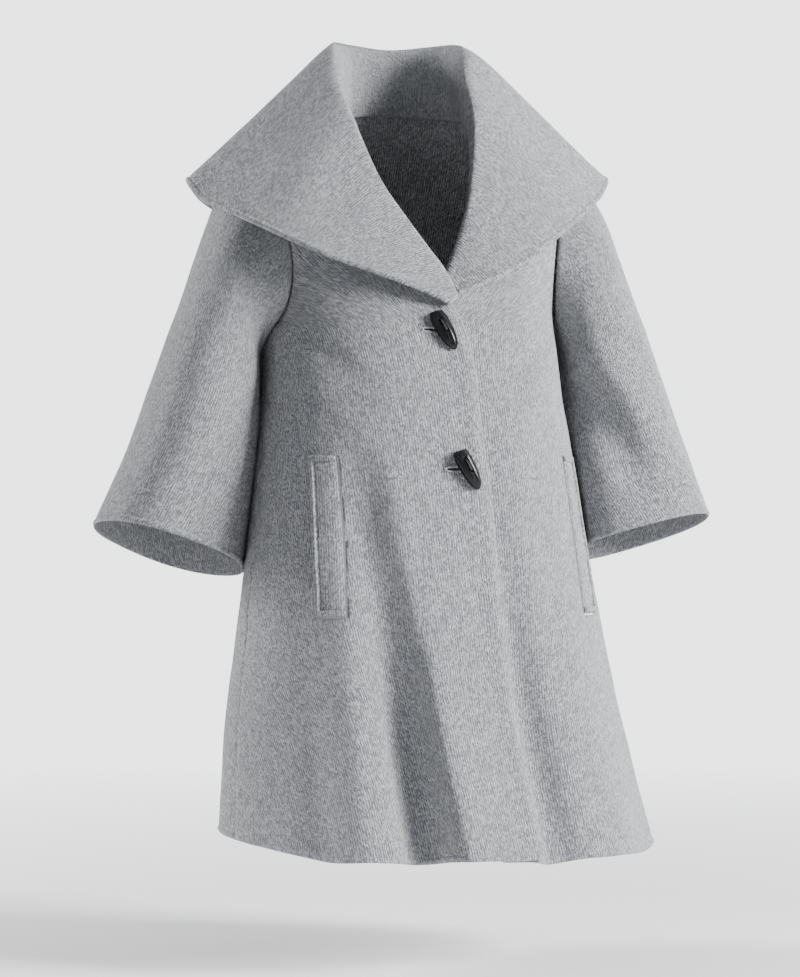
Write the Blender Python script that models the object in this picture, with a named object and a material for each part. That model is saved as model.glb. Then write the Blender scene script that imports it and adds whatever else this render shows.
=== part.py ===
"""A short A-line coat of thick melange wool, as it hangs on a wearer.

Metres, +Z up. The coat faces -Y and +X is the wearer's left. The origin is the middle of
the neck opening, level with the shoulder seams, where the wearer's shoulders hold the coat.
Every cloth piece is a wall round a middle surface that is worked out from the tables below.
"""

import math

import bmesh
import bpy
import numpy as np
from mathutils import Matrix, Vector
from mathutils.bvhtree import BVHTree

# Cloth
CLOTH = 0.0030
COLLAR_CLOTH = 0.0046
SEAM_GAP = 0.0003

# Fronts: each one passes the centre line by half of the button stand
HALF_STAND = 0.027
HALF_STAND_AT_UNDERARM = 0.0226
UNDERLAP_DEPTH = 0.0046
UNDERLAP_DEPTH_AT_COLLAR = 0.0110
UNDERLAP_FADE = 0.075

# Armhole: a loop from the shoulder tip down to the underarm
SHOULDER_TIP = (0.188, 0.010, -0.050)
UNDERARM = (0.164, -0.012, -0.238)
ARMHOLE_FRONT_DEPTH = 0.072
ARMHOLE_BACK_DEPTH = 0.084
ARMHOLE_FRONT_BOW = 0.018
ARMHOLE_BACK_BOW = 0.004

# Rows above the underarm run from the neckline, or the centre back, to the armhole: the angle of
# the armhole where each one ends, and how far it has turned back there, in degrees
FRONT_ROW_COLUMNS = ("armhole_angle", "turn")
FRONT_ROWS = (
    (0.0, 4.0),
    (30.0, 12.0),
    (60.0, 28.0),
    (90.0, 46.0),
    (118.0, 60.0),
    (142.0, 74.0),
    (162.0, 84.0),
)
BACK_ROW_COLUMNS = ("centre_depth", "centre_height", "armhole_angle", "turn")
BACK_ROWS = (
    (0.090, -0.028, 34.0, 10.0),
    (0.108, -0.074, 64.0, 26.0),
    (0.119, -0.122, 94.0, 46.0),
    (0.124, -0.166, 122.0, 64.0),
    (0.125, -0.206, 150.0, 80.0),
)
SHOULDER_SEAM_TURN = 4.0
ROW_LEAVES_STRAIGHT = 0.43
ROW_ARRIVES_STRAIGHT = 0.36

# A body section is four Bezier quarters; each handle is this share of the half width or depth
QUARTER = 0.56

# How finely the solids are divided
ROWS_ABOVE_UNDERARM = 11
ROWS_BELOW_UNDERARM = 13
FRONT_COLUMNS = 15
BACK_HALF_COLUMNS = 11
NECK_COLUMNS = 4
SLEEVE_RINGS = 13
COLLAR_STAND_SHARES = (0.0, 0.25, 0.62, 1.0)
COLLAR_FALL_STEPS = 8

# Body sections below the underarm. Sway moves the section to the wearer's left
BODY_COLUMNS = ("height", "half_width", "front", "back", "sway")
BODY = (
    (-0.238, 0.164, 0.147, 0.123, 0.0),
    (-0.300, 0.167, 0.163, 0.122, 0.001),
    (-0.400, 0.180, 0.178, 0.118, 0.002),
    (-0.515, 0.1985, 0.191, 0.115, 0.0015),
    (-0.650, 0.2220, 0.213, 0.118, 0.0035),
    (-0.805, 0.2460, 0.262, 0.123, 0.0105),
)

# The wearer turns a little to the left: degrees of turn at each height
TWIST_COLUMNS = ("height", "turn")
TWIST = (
    (-0.020, 0.0),
    (-0.060, 1.2),
    (-0.120, 4.0),
    (-0.180, 5.8),
    (-0.238, 5.5),
    (-0.300, 6.5),
    (-0.400, 9.3),
    (-0.515, 11.5),
    (-0.650, 13.3),
    (-0.805, 14.3),
)

# The hem is not level: how far it hangs above (+) or below (-) its height round the body
HEM_COLUMNS = ("angle", "lift")
HEM = (
    (-180.0, 0.0020),
    (-150.0, 0.0060),
    (-125.0, 0.0140),
    (-103.0, 0.0200),
    (-90.0, 0.0160),
    (-79.0, 0.0122),
    (-69.0, 0.0074),
    (-58.0, 0.0008),
    (-49.0, -0.0010),
    (-40.0, 0.0016),
    (-32.0, 0.0072),
    (-25.0, 0.0062),
    (-17.5, -0.0006),
    (-8.0, -0.0008),
    (18.0, -0.0003),
    (33.0, -0.0042),
    (52.0, -0.0034),
    (75.0, -0.0030),
    (110.0, -0.0010),
    (150.0, 0.0),
    (180.0, 0.0020),
)
HEM_LIFT_START = -0.600

# Soft folds: where each is round the body (0 is the front, + is the wearer's left), how wide on
# its right and its left, the height where it starts, and how far it stands out (+) or sinks in (-)
FOLD_COLUMNS = ("angle", "right_width", "left_width", "start", "depth")
FOLDS = (
    (-27.0, 12.0, 6.5, -0.33, -0.023),
    (-46.0, 9.0, 9.0, -0.42, 0.008),
    (-9.0, 8.0, 10.0, -0.40, 0.006),
    (16.0, 7.0, 9.0, -0.40, -0.007),
    (37.0, 12.0, 12.0, -0.36, 0.008),
    (63.0, 10.0, 10.0, -0.50, -0.006),
    (-74.0, 9.0, 9.0, -0.50, -0.006),
    (-100.0, 10.0, 10.0, -0.45, 0.007),
    (104.0, 10.0, 10.0, -0.45, 0.008),
    (128.0, 9.0, 9.0, -0.40, -0.011),
    (150.0, 10.0, 10.0, -0.34, 0.010),
    (176.0, 10.0, 10.0, -0.36, -0.013),
    (-153.0, 10.0, 10.0, -0.32, 0.011),
    (-128.0, 9.0, 9.0, -0.42, -0.010),
)

# Neckline of the left front and half back, from the centre back to the top of the front edge
NECKLINE = (
    (0.000, 0.066, 0.016),
    (0.046, 0.050, 0.012),
    (0.072, 0.024, 0.006),
    (0.079, 0.002, 0.002),
    (0.080, -0.028, -0.020),
    (0.075, -0.062, -0.056),
    (0.063, -0.093, -0.098),
    (0.041, -0.116, -0.146),
    (0.008, -0.1325, -0.186),
    (-0.005, -0.137, -0.205),
)
SHOULDER_POINT = 3

# Collar, with a row for each neckline row: the roll is the top of the turn and the edge is the
# free outer edge. The right half ends over the left one, at the top of the front edge
COLLAR_COLUMNS = ("roll", "edge", "turn")
COLLAR_RIGHT = (
    ((0.000, 0.086, 0.086), (0.000, 0.168, -0.120), 0.015),
    ((-0.050, 0.066, 0.088), (-0.125, 0.152, -0.116), 0.014),
    ((-0.075, 0.030, 0.086), (-0.206, 0.102, -0.094), 0.013),
    ((-0.083, -0.004, 0.074), (-0.242, 0.038, -0.070), 0.013),
    ((-0.086, -0.033, 0.042), (-0.2275, -0.020, -0.101), 0.012),
    ((-0.077, -0.062, 0.000), (-0.191, -0.085, -0.123), 0.010),
    ((-0.054, -0.092, -0.066), (-0.155, -0.122, -0.144), 0.009),
    ((-0.020, -0.118, -0.126), (-0.112, -0.143, -0.164), 0.008),
    ((0.0165, -0.1370, -0.180), (-0.040, -0.156, -0.190), 0.008),
    ((0.0266, -0.1425, -0.207), (0.019, -0.150, -0.2135), 0.005),
)
COLLAR_LEFT = (
    ((0.000, 0.086, 0.086), (0.000, 0.168, -0.120), 0.015),
    ((0.046, 0.066, 0.088), (0.123, 0.152, -0.116), 0.013),
    ((0.063, 0.030, 0.086), (0.206, 0.102, -0.090), 0.022),
    ((0.066, -0.004, 0.076), (0.243, 0.038, -0.061), 0.030),
    ((0.063, -0.033, 0.044), (0.218, -0.022, -0.090), 0.022),
    ((0.066, -0.062, 0.000), (0.182, -0.070, -0.1156), 0.014),
    ((0.058, -0.089, -0.066), (0.140, -0.110, -0.144), 0.008),
    ((0.042, -0.110, -0.126), (0.085, -0.136, -0.179), 0.007),
    ((0.0105, -0.1245, -0.198), (0.0150, -0.1370, -0.2085), 0.006),
)
COLLAR_LAP = 0.0045
COLLAR_PAST_EDGE = 0.0018
COLLAR_SEATED = 0.0046
COLLAR_SHOULDER_EASE = 0.0018
COLLAR_OVER_CLOTH = 0.0060

# Sleeve rings from the armhole to the cuff. The two arms hang a little differently
SLEEVE_COLUMNS = ("outer_x", "outer_z", "inner_x", "inner_z", "middle_y", "half_depth", "front_rise")
SLEEVE_RIGHT = (
    (0.188, -0.050, 0.164, -0.238, 0.004, 0.079, 0.000),
    (0.212, -0.092, 0.170, -0.262, -0.002, 0.080, 0.000),
    (0.240, -0.168, 0.170, -0.300, -0.008, 0.080, 0.002),
    (0.274, -0.262, 0.170, -0.358, -0.008, 0.084, 0.006),
    (0.305, -0.350, 0.176, -0.428, -0.004, 0.090, 0.011),
    (0.348, -0.452, 0.184, -0.506, 0.004, 0.099, 0.016),
)
SLEEVE_LEFT = (
    (0.188, -0.050, 0.164, -0.238, 0.004, 0.079, 0.000),
    (0.219, -0.092, 0.172, -0.262, 0.004, 0.080, 0.000),
    (0.248, -0.168, 0.176, -0.298, 0.002, 0.078, 0.003),
    (0.282, -0.262, 0.179, -0.350, 0.000, 0.080, 0.008),
    (0.312, -0.350, 0.183, -0.414, 0.000, 0.085, 0.014),
    (0.3495, -0.450, 0.189, -0.487, 0.004, 0.094, 0.020),
)
SLEEVE_SEAM_LIFT = 0.0036
SLEEVE_UNDERARM_LIFT = 0.0022
SLEEVE_CLEAR_OF_BODY = 0.0060
SLEEVE_FOLDS = (
    # angle round the ring in degrees (0 is the outer line, 90 the front), width, depth
    (52.0, 20.0, 0.004),
    (100.0, 22.0, -0.005),
    (-60.0, 24.0, -0.005),
    (-110.0, 22.0, 0.004),
)

# Welt pockets: angle at the top and bottom, heights of the ends, width, and the raised binding
POCKET_COLUMNS = ("side", "top_angle", "foot_angle")
POCKETS = (("right", -57.5, -55.5), ("left", 60.0, 58.0))
POCKET_TOP = -0.377
POCKET_FOOT = -0.549
POCKET_WIDTH = 0.033
WELT_CLOTH = 0.0024
WELT_BINDING_RISE = 0.0016
WELT_BINDING_WIDTH = 0.0065
WELT_SEAT = 0.0007
WELT_ROWS = 14

# Horn toggles, sewn to the left front and passed through slits in the right one
TOGGLE_COLUMNS = ("name", "angle", "height")
TOGGLES = (("upper", -0.9, -0.2415), ("lower", 0.0, -0.3915))
TOGGLE_LENGTH = 0.046
TOGGLE_WIDTH = 0.019
TOGGLE_DEPTH = 0.0095
TOGGLE_LEAN = -27.0
TOGGLE_SECTIONS = 11
TOGGLE_SIDES = 14
TOGGLE_CENTRE = 0.46
TOGGLE_TAPER_START = 0.30
TOGGLE_TAPER_POWER = 2.2
TOGGLE_TIP_WIDTH = 0.12
TOGGLE_TIP_DEPTH = 0.22
TOGGLE_TOP_WIDTH = 0.80
TOGGLE_TOP_DEPTH = 0.86
TOGGLE_TOP_ROUNDING = 0.18
TOGGLE_SKEW = 0.0020
TOGGLE_HOLES_UP = 0.0035
TOGGLE_HOLE_RADIUS = 0.0019
TOGGLE_HOLE_SPACING = 0.0125
TOGGLE_STANDOFF = 0.0022
SHANK_RADIUS = 0.0011
SLIT_LENGTH = 0.026
SLIT_WIDTH = 0.0034
SLIT_BEYOND_SHANK = 0.003

WOOL = (0.47, 0.48, 0.50, 1.0)
HORN = (0.018, 0.019, 0.022, 1.0)
THREAD = (0.03, 0.03, 0.033, 1.0)


def column(table, columns, name):
    """One named column of a table."""
    at = columns.index(name)
    return [row[at] for row in table]


def spline(knots, values, at):
    """A smooth curve through values at knots, read at the given places. The knots rise."""
    knots = np.asarray(knots, float)
    values = np.asarray(values, float)
    at = np.clip(np.asarray(at, float), knots[0], knots[-1])
    flat = values.reshape(len(knots), -1)
    slope = np.gradient(flat, knots, axis=0)
    i = np.clip(np.searchsorted(knots, at, side="right") - 1, 0, len(knots) - 2)
    span = (knots[i + 1] - knots[i])[:, None]
    u = (at - knots[i])[:, None] / span
    made = (
        (1 + 2 * u) * (1 - u) ** 2 * flat[i]
        + u * (1 - u) ** 2 * span * slope[i]
        + u * u * (3 - 2 * u) * flat[i + 1]
        + u * u * (u - 1) * span * slope[i + 1]
    )
    return made.reshape((len(at),) + values.shape[1:])


def smoothstep(low, high, value):
    """0 below low, 1 above high, and a soft rise between them."""
    u = np.clip((np.asarray(value, float) - low) / (high - low), 0.0, 1.0)
    return u * u * (3 - 2 * u)


def unit(vectors):
    """Each vector with length 1."""
    length = np.linalg.norm(vectors, axis=-1, keepdims=True)
    return vectors / np.maximum(length, 1e-12)


def bezier(p0, p1, p2, p3, u):
    """Points of a cubic Bezier curve at the parameters u."""
    u = np.asarray(u, float)[:, None]
    p0, p1, p2, p3 = (np.asarray(p, float) for p in (p0, p1, p2, p3))
    return (1 - u) ** 3 * p0 + 3 * u * (1 - u) ** 2 * p1 + 3 * u * u * (1 - u) * p2 + u**3 * p3


def armhole(angle, depth):
    """A point of the armhole edge: 0 degrees is the shoulder tip and 180 the underarm."""
    turn = math.radians(angle)
    down = (1 - math.cos(turn)) / 2
    tip, low = np.array(SHOULDER_TIP), np.array(UNDERARM)
    point = tip + (low - tip) * down
    bow = ARMHOLE_FRONT_BOW if depth > 0 else ARMHOLE_BACK_BOW
    point[0] = tip[0] + (low[0] - tip[0]) * math.sin(down * math.pi / 2) - bow * math.sin(turn)
    point[1] -= depth * math.sin(turn)
    return point


def body_value(name, heights):
    """A column of the body table at the given heights."""
    rising = column(BODY, BODY_COLUMNS, "height")[::-1]
    return spline(rising, column(BODY, BODY_COLUMNS, name)[::-1], heights)


def low_row(index, depth_name, facing, places):
    """A quarter of a body section, from the centre line (0) to the side seam (1).

    Places below 0 pass the centre line and mirror the curve. facing is -1 for the front.
    """
    row = dict(zip(BODY_COLUMNS, BODY[index]))
    side_y = (row["back"] - row["front"]) / 2
    centre_y = facing * row[depth_name]
    reach = centre_y - side_y
    a = row["half_width"]
    points = bezier(
        (0, centre_y, 0),
        (QUARTER * a, centre_y, 0),
        (a, side_y + QUARTER * reach, 0),
        (a, side_y, 0),
        np.abs(places),
    )
    points[:, 0] *= np.where(places < 0, -1, 1)
    points[:, 2] = row["height"]
    return points


def high_row(start, end, facing, turn, places):
    """A row above the underarm, from the neckline or centre back to the armhole."""
    start, end = np.array(start, float), np.array(end, float)
    length = np.linalg.norm((end - start)[:2])
    angle = math.radians(turn)
    leave = np.array((ROW_LEAVES_STRAIGHT * length, 0, 0))
    arrive = np.array((math.cos(angle), -facing * math.sin(angle), 0))
    arrive = arrive * ROW_ARRIVES_STRAIGHT * length
    points = bezier(start, start + leave, end - arrive, end, places)
    points[:, 2] = start[2] + (end[2] - start[2]) * places
    return points


def between_rows(stations, split, neck_end=None):
    """Rows between stations, of which the first few, up to split, are above the underarm.

    neck_end is the station where the neckline ends; one row falls on it.

    Below the underarm the side edge depends on the low stations only, so that the front and
    the back share it.
    """
    stations = np.array(stations)
    low_heights = stations[split:, 0, 2]
    top = np.linalg.norm(np.diff(stations[: split + 1, stations.shape[1] // 2], axis=0), axis=1)
    distance = np.concatenate([[0], np.cumsum(top)])
    distance = np.concatenate([distance, distance[-1] + low_heights[0] - low_heights[1:]])
    high = np.linspace(0, distance[split], ROWS_ABOVE_UNDERARM + 1)
    if neck_end is not None:
        high = np.linspace(0, distance[neck_end], ROWS_ABOVE_UNDERARM)
        high = np.append(high, distance[split])
    low = np.linspace(distance[split], distance[-1], ROWS_BELOW_UNDERARM + 1)[1:]
    rows = spline(distance, stations, np.concatenate([high, low]))
    edge = spline(distance[split:], stations[split:, -1], low)
    share = np.linspace(0, 1, stations.shape[1]) ** 3
    rows[len(high):] += (edge - rows[len(high):, -1])[:, None] * share[None, :, None]
    return rows


def front_rows():
    """The middle surface of the wearer's left front, before twist and folds."""
    seam = NECKLINE[SHOULDER_POINT:]
    share = np.linspace(0, 1, FRONT_COLUMNS + 1)
    stations = [
        high_row(start, armhole(angle, ARMHOLE_FRONT_DEPTH), -1, turn, share)
        for start, (angle, turn) in zip(seam, FRONT_ROWS)
    ]
    for index in range(len(BODY)):
        half_width = BODY[index][BODY_COLUMNS.index("half_width")]
        stand = HALF_STAND_AT_UNDERARM if index == 0 else HALF_STAND
        past = stand / (3 * QUARTER * half_width)
        places = -past + share * (1 + past)
        stations.append(low_row(index, "front", -1, places))
    return between_rows(stations, len(FRONT_ROWS), neck_end=len(FRONT_ROWS) - 1)


def back_rows():
    """The middle surface of the left half of the back, before twist and folds."""
    share = np.linspace(0, 1, BACK_HALF_COLUMNS + 1)
    curve = NECKLINE[: SHOULDER_POINT + 1]
    neck = spline(np.arange(len(curve)), curve, np.linspace(0, SHOULDER_POINT, NECK_COLUMNS + 1))
    shoulder_share = np.linspace(0, 1, BACK_HALF_COLUMNS - NECK_COLUMNS + 1)
    shoulder = high_row(curve[-1], SHOULDER_TIP, -1, SHOULDER_SEAM_TURN, shoulder_share)
    stations = [np.concatenate([neck, shoulder[1:]])]
    for depth, height, angle, turn in BACK_ROWS:
        end = armhole(angle, -ARMHOLE_BACK_DEPTH)
        stations.append(high_row((0, depth, height), end, 1, turn, share))
    for index in range(len(BODY)):
        stations.append(low_row(index, "back", 1, share))
    return between_rows(stations, len(BACK_ROWS) + 1)


def grid_normals(points, facing_out):
    """Unit normals of a grid, turned to point away from the body's axis where facing_out says."""
    along = np.gradient(points, axis=0)
    across = np.gradient(points, axis=1)
    normals = unit(np.cross(across, along))
    middle = points.shape[0] // 2, points.shape[1] // 2
    sign = np.sign(np.dot(normals[middle], facing_out))
    return normals * sign


def angle_round(points):
    """The angle of each point round the body, before its turn: 0 is the front, in degrees."""
    height = points[..., 2]
    side_y = (body_value("back", height.ravel()) - body_value("front", height.ravel())) / 2
    side_y = side_y.reshape(height.shape)
    return np.degrees(np.arctan2(points[..., 0], -(points[..., 1] - side_y)))


def fold_height(points):
    """How far the folds move each point of the body out or in."""
    hem = BODY[-1][0]
    height = points[..., 2]
    angle = angle_round(points)
    moved = np.zeros_like(height)
    for fold in FOLDS:
        row = dict(zip(FOLD_COLUMNS, fold))
        apart = (angle - row["angle"] + 180) % 360 - 180
        width = np.where(apart < 0, row["right_width"], row["left_width"])
        grown = smoothstep(0, 1, (row["start"] - height) / (row["start"] - hem))
        moved += row["depth"] * grown * np.exp(-((apart / width) ** 2))
    return moved


def twist_at(heights):
    """The turn of the body at the given heights, in radians."""
    rising = column(TWIST, TWIST_COLUMNS, "height")[::-1]
    return np.radians(spline(rising, column(TWIST, TWIST_COLUMNS, "turn")[::-1], heights))


def twisted(points):
    """The points with the body's turn, its sway and the uneven hem."""
    height = points[..., 2]
    angle = twist_at(height.ravel()).reshape(height.shape)
    c, s = np.cos(angle), np.sin(angle)
    x, y = points[..., 0], points[..., 1]
    sway = body_value("sway", height.ravel()).reshape(height.shape)
    hem_height = BODY[-1][0]
    low = smoothstep(0, 1, (HEM_LIFT_START - height) / (HEM_LIFT_START - hem_height))
    hem_angles = column(HEM, HEM_COLUMNS, "angle")
    lift = np.interp(angle_round(points), hem_angles, column(HEM, HEM_COLUMNS, "lift")) * low
    return np.stack([x * c - y * s + sway, x * s + y * c, height + lift], axis=-1)


def underlap(points):
    """How far the left front sinks under the right one near the centre line."""
    near = 1 - smoothstep(HALF_STAND, HALF_STAND + UNDERLAP_FADE, points[..., 0])
    high = smoothstep(-0.300, -0.225, points[..., 2])
    depth = UNDERLAP_DEPTH + (UNDERLAP_DEPTH_AT_COLLAR - UNDERLAP_DEPTH) * high
    return depth * near


def mirrored(points):
    """The same grid on the other side of the centre plane."""
    return points * np.array((-1.0, 1.0, 1.0))


def body_grids():
    """Middle surfaces and normals of the right front, left front and back."""
    front = front_rows()
    half_back = back_rows()
    back = np.concatenate([mirrored(half_back[:, :0:-1]), half_back], axis=1)
    grids = {"right": mirrored(front), "left": front, "back": back}
    facing = {"right": (-0.3, -1, 0), "left": (0.3, -1, 0), "back": (0, 1, 0)}
    normals = {name: grid_normals(grid, facing[name]) for name, grid in grids.items()}
    share_seam_normals(normals)
    for name, grid in grids.items():
        moved = fold_height(grid)
        if name == "left":
            moved = moved - underlap(grid)
        grids[name] = twisted(grid + normals[name] * moved[..., None])
    normals = {name: grid_normals(grid, facing[name]) for name, grid in grids.items()}
    share_seam_normals(normals)
    return grids, normals


def share_seam_normals(normals):
    """Gives the two sides of each side and shoulder seam the same normals, so that walls meet."""
    first = ROWS_ABOVE_UNDERARM
    for side, at in (("left", -1), ("right", 0)):
        both = unit(normals[side][first:, -1] + normals["back"][first:, at])
        normals[side][first:, -1] = both
        normals["back"][first:, at] = both
    shoulder_points = BACK_HALF_COLUMNS - NECK_COLUMNS + 1
    samples = np.linspace(0, 1, shoulder_points)
    steps = np.linspace(0, 1, FRONT_COLUMNS + 1)
    for side in ("left", "right"):
        back = normals["back"][0] if side == "left" else normals["back"][0][::-1]
        seam = back[-shoulder_points:]
        front = normals[side][0]
        at_back = unit(seam + spline(steps, front, samples))
        normals[side][0] = unit(spline(samples, at_back, steps))
        seam[:] = at_back


def pulled_in(points, amount):
    """The grid with its border moved in by amount along the rows and columns."""
    points = points.copy()
    points[0] += unit(points[1] - points[0]) * amount
    points[-1] += unit(points[-2] - points[-1]) * amount
    points[:, 0] += unit(points[:, 1] - points[:, 0]) * amount
    points[:, -1] += unit(points[:, -2] - points[:, -1]) * amount
    return points


def material(name, colour, roughness, metallic=0.0):
    """A plain finish."""
    made = bpy.data.materials.new(name)
    made.use_nodes = True
    shader = made.node_tree.nodes["Principled BSDF"]
    shader.inputs["Base Color"].default_value = colour
    shader.inputs["Roughness"].default_value = roughness
    shader.inputs["Metallic"].default_value = metallic
    return made


def add_object(name, mesh, finish, parent):
    """Puts a mesh in the scene as one named piece."""
    mesh.materials.append(finish)
    made = bpy.data.objects.new(name, mesh)
    bpy.context.scene.collection.objects.link(made)
    made.parent = parent
    return made


def cloth_wall(name, outer, inner, closed=False):
    """A mesh of one cloth wall between two grids of the same shape.

    closed joins the last column to the first, as in a tube.
    """
    rows, columns = outer.shape[:2]
    vertices = np.concatenate([outer.reshape(-1, 3), inner.reshape(-1, 3)])
    shift = rows * columns

    def at(i, j, layer):
        return layer * shift + i * columns + (j % columns)

    faces = []
    for i in range(rows - 1):
        for j in range(columns if closed else columns - 1):
            faces.append([at(i, j, 0), at(i + 1, j, 0), at(i + 1, j + 1, 0), at(i, j + 1, 0)])
            faces.append([at(i, j, 1), at(i, j + 1, 1), at(i + 1, j + 1, 1), at(i + 1, j, 1)])
    for j in range(columns if closed else columns - 1):
        for i in (0, rows - 1):
            faces.append([at(i, j, 0), at(i, j + 1, 0), at(i, j + 1, 1), at(i, j, 1)])
    if not closed:
        for i in range(rows - 1):
            for j in (0, columns - 1):
                faces.append([at(i, j, 0), at(i + 1, j, 0), at(i + 1, j, 1), at(i, j, 1)])
    mesh = bpy.data.meshes.new(name)
    mesh.from_pydata([tuple(v) for v in vertices], [], faces)
    work = bmesh.new()
    work.from_mesh(mesh)
    bmesh.ops.recalc_face_normals(work, faces=work.faces)
    if work.calc_volume(signed=True) < 0:
        bmesh.ops.reverse_faces(work, faces=work.faces)
    work.to_mesh(mesh)
    work.free()
    mesh.shade_smooth()
    mesh.set_sharp_from_angle(angle=math.radians(50))
    return mesh


def wall_of(name, points, normals, thickness, closed=False):
    """A cloth wall centred on a middle surface."""
    half = normals * thickness / 2
    return cloth_wall(name, points + half, points - half, closed)


def tree_of(*grids):
    """A search tree over the faces of open grids, for finding what lies under a point."""
    vertices, faces = [], []
    for grid in grids:
        rows, columns = grid.shape[:2]
        start = len(vertices)
        vertices += [Vector(p) for p in grid.reshape(-1, 3)]
        for i in range(rows - 1):
            for j in range(columns - 1):
                a = start + i * columns + j
                faces.append((a, a + 1, a + columns + 1, a + columns))
    return BVHTree.FromPolygons(vertices, faces)


def lift_needed(point, direction, tree, clearance, reach):
    """How far a point must move along direction to be clearance outside the surface in the tree."""
    direction = Vector(unit(np.asarray(direction, float)))
    start = Vector(point) + direction * reach
    hit, normal, _, distance = tree.ray_cast(start, -direction, 2 * reach)
    if hit is None:
        return 0.0
    slant = max(abs(normal.dot(direction)), 0.5)
    return max(0.0, reach - distance + clearance / slant)


def sleeve_grid(side, grids, normals):
    """The middle surface of one sleeve: ring 0 is laid on the armhole edge."""
    front_edge = grids[side][: ROWS_ABOVE_UNDERARM + 1, -1]
    front_out = normals[side][: ROWS_ABOVE_UNDERARM + 1, -1]
    at = -1 if side == "left" else 0
    back_edge = grids["back"][: ROWS_ABOVE_UNDERARM + 1, at]
    back_out = normals["back"][: ROWS_ABOVE_UNDERARM + 1, at]
    loop = np.concatenate([front_edge, back_edge[-2:0:-1]])
    out = np.concatenate([front_out, back_out[-2:0:-1]])
    if side == "right":
        loop, out = mirrored(loop), mirrored(out)
    # each point keeps its own angle round the ring: 0 outer line, 90 front, 180 inner, 270 back
    half = ROWS_ABOVE_UNDERARM
    angles = np.concatenate([np.linspace(0, 180, half + 1), np.linspace(180, 360, half + 1)[1:-1]])
    turn = np.radians(angles)
    lift = SLEEVE_SEAM_LIFT + SLEEVE_UNDERARM_LIFT * smoothstep(0.5, 0.9, -np.cos(turn))
    first = loop + out * lift[:, None]
    table = SLEEVE_RIGHT if side == "right" else SLEEVE_LEFT
    knots = np.linspace(0, 1, len(table))
    t = np.linspace(0, 1, SLEEVE_RINGS + 1)
    value = {name: spline(knots, column(table, SLEEVE_COLUMNS, name), t) for name in SLEEVE_COLUMNS}
    rings = []
    for k in range(SLEEVE_RINGS + 1):
        outer = np.array((value["outer_x"][k], value["middle_y"][k], value["outer_z"][k]))
        inner = np.array((value["inner_x"][k], value["middle_y"][k], value["inner_z"][k]))
        centre, reach = (outer + inner) / 2, (outer - inner) / 2
        forward = np.array((0, -value["half_depth"][k], value["front_rise"][k]))
        ring = centre + np.outer(np.cos(turn), reach) + np.outer(np.sin(turn), forward)
        swell = sum(
            depth * np.exp(-((((angles - angle + 180) % 360 - 180) / width) ** 2))
            for angle, width, depth in SLEEVE_FOLDS
        )
        ring += unit(ring - centre) * (swell * t[k] ** 1.5)[:, None]
        rings.append(ring)
    rings = np.array(rings)
    # the first rings ease from the armhole's own shape to the round ones
    carry = 1 - smoothstep(0.0, 0.30, t)
    rings = rings + (first - rings[0])[None] * carry[:, None, None]
    return rings


def settled_sleeve(rings, side, tree):
    """The sleeve moved just clear of the body where the arm presses it to the side."""
    sign = 1.0 if side == "left" else -1.0
    rings = rings * np.array((sign, 1, 1))
    for k in range(1, len(rings)):
        for j in range(rings.shape[1]):
            point = rings[k, j]
            if point[2] > UNDERARM[2] + 0.030:
                continue
            way = (sign, 0, 0)
            rings[k, j, 0] += sign * lift_needed(point, way, tree, SLEEVE_CLEAR_OF_BODY, 0.25)
    return rings


def tube_normals(rings):
    """Unit normals of a tube of rings, pointing out of the tube."""
    along = np.gradient(rings, axis=0)
    across = np.roll(rings, -1, axis=1) - np.roll(rings, 1, axis=1)
    normals = unit(np.cross(across, along))
    centre = rings.mean(axis=1, keepdims=True)
    return normals * np.sign(np.sum(normals * (rings - centre), axis=-1).mean())


def neckline_half(side, grids, normals, front):
    """Points, outward normals and places along half the neckline, from the centre back."""
    step = 1 if side == "left" else -1
    at = [BACK_HALF_COLUMNS + step * k for k in range(NECK_COLUMNS + 1)]
    points = [grids["back"][0, k] for k in at]
    out = [normals["back"][0, k] for k in at]
    places = list(np.linspace(0, SHOULDER_POINT, NECK_COLUMNS + 1))
    last = len(NECKLINE) - 1
    samples = np.linspace(SHOULDER_POINT, last, 400)
    curve = spline(np.arange(len(NECKLINE)), NECKLINE, samples)
    for row in range(1, ROWS_ABOVE_UNDERARM):
        nearest = np.argmin(np.linalg.norm(curve - front[row, 0], axis=1))
        places.append(float(samples[nearest]))
        points.append(grids[side][row, 0])
        out.append(normals[side][row, 0])
    return np.array(points), np.array(out), np.array(places)


def halved_steps(values):
    """The values with a middle one between each two, along the first axis."""
    made = np.repeat(np.asarray(values, float), 2, axis=0)[:-1]
    made[1::2] = (made[:-1:2] + made[2::2]) / 2
    return made


def softened(values, passes=3):
    """The values with each one averaged with its neighbours."""
    for _ in range(passes):
        values = np.concatenate(
            [values[:1], (values[:-2] + 2 * values[1:-1] + values[2:]) / 4, values[-1:]]
        )
    return values


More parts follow.
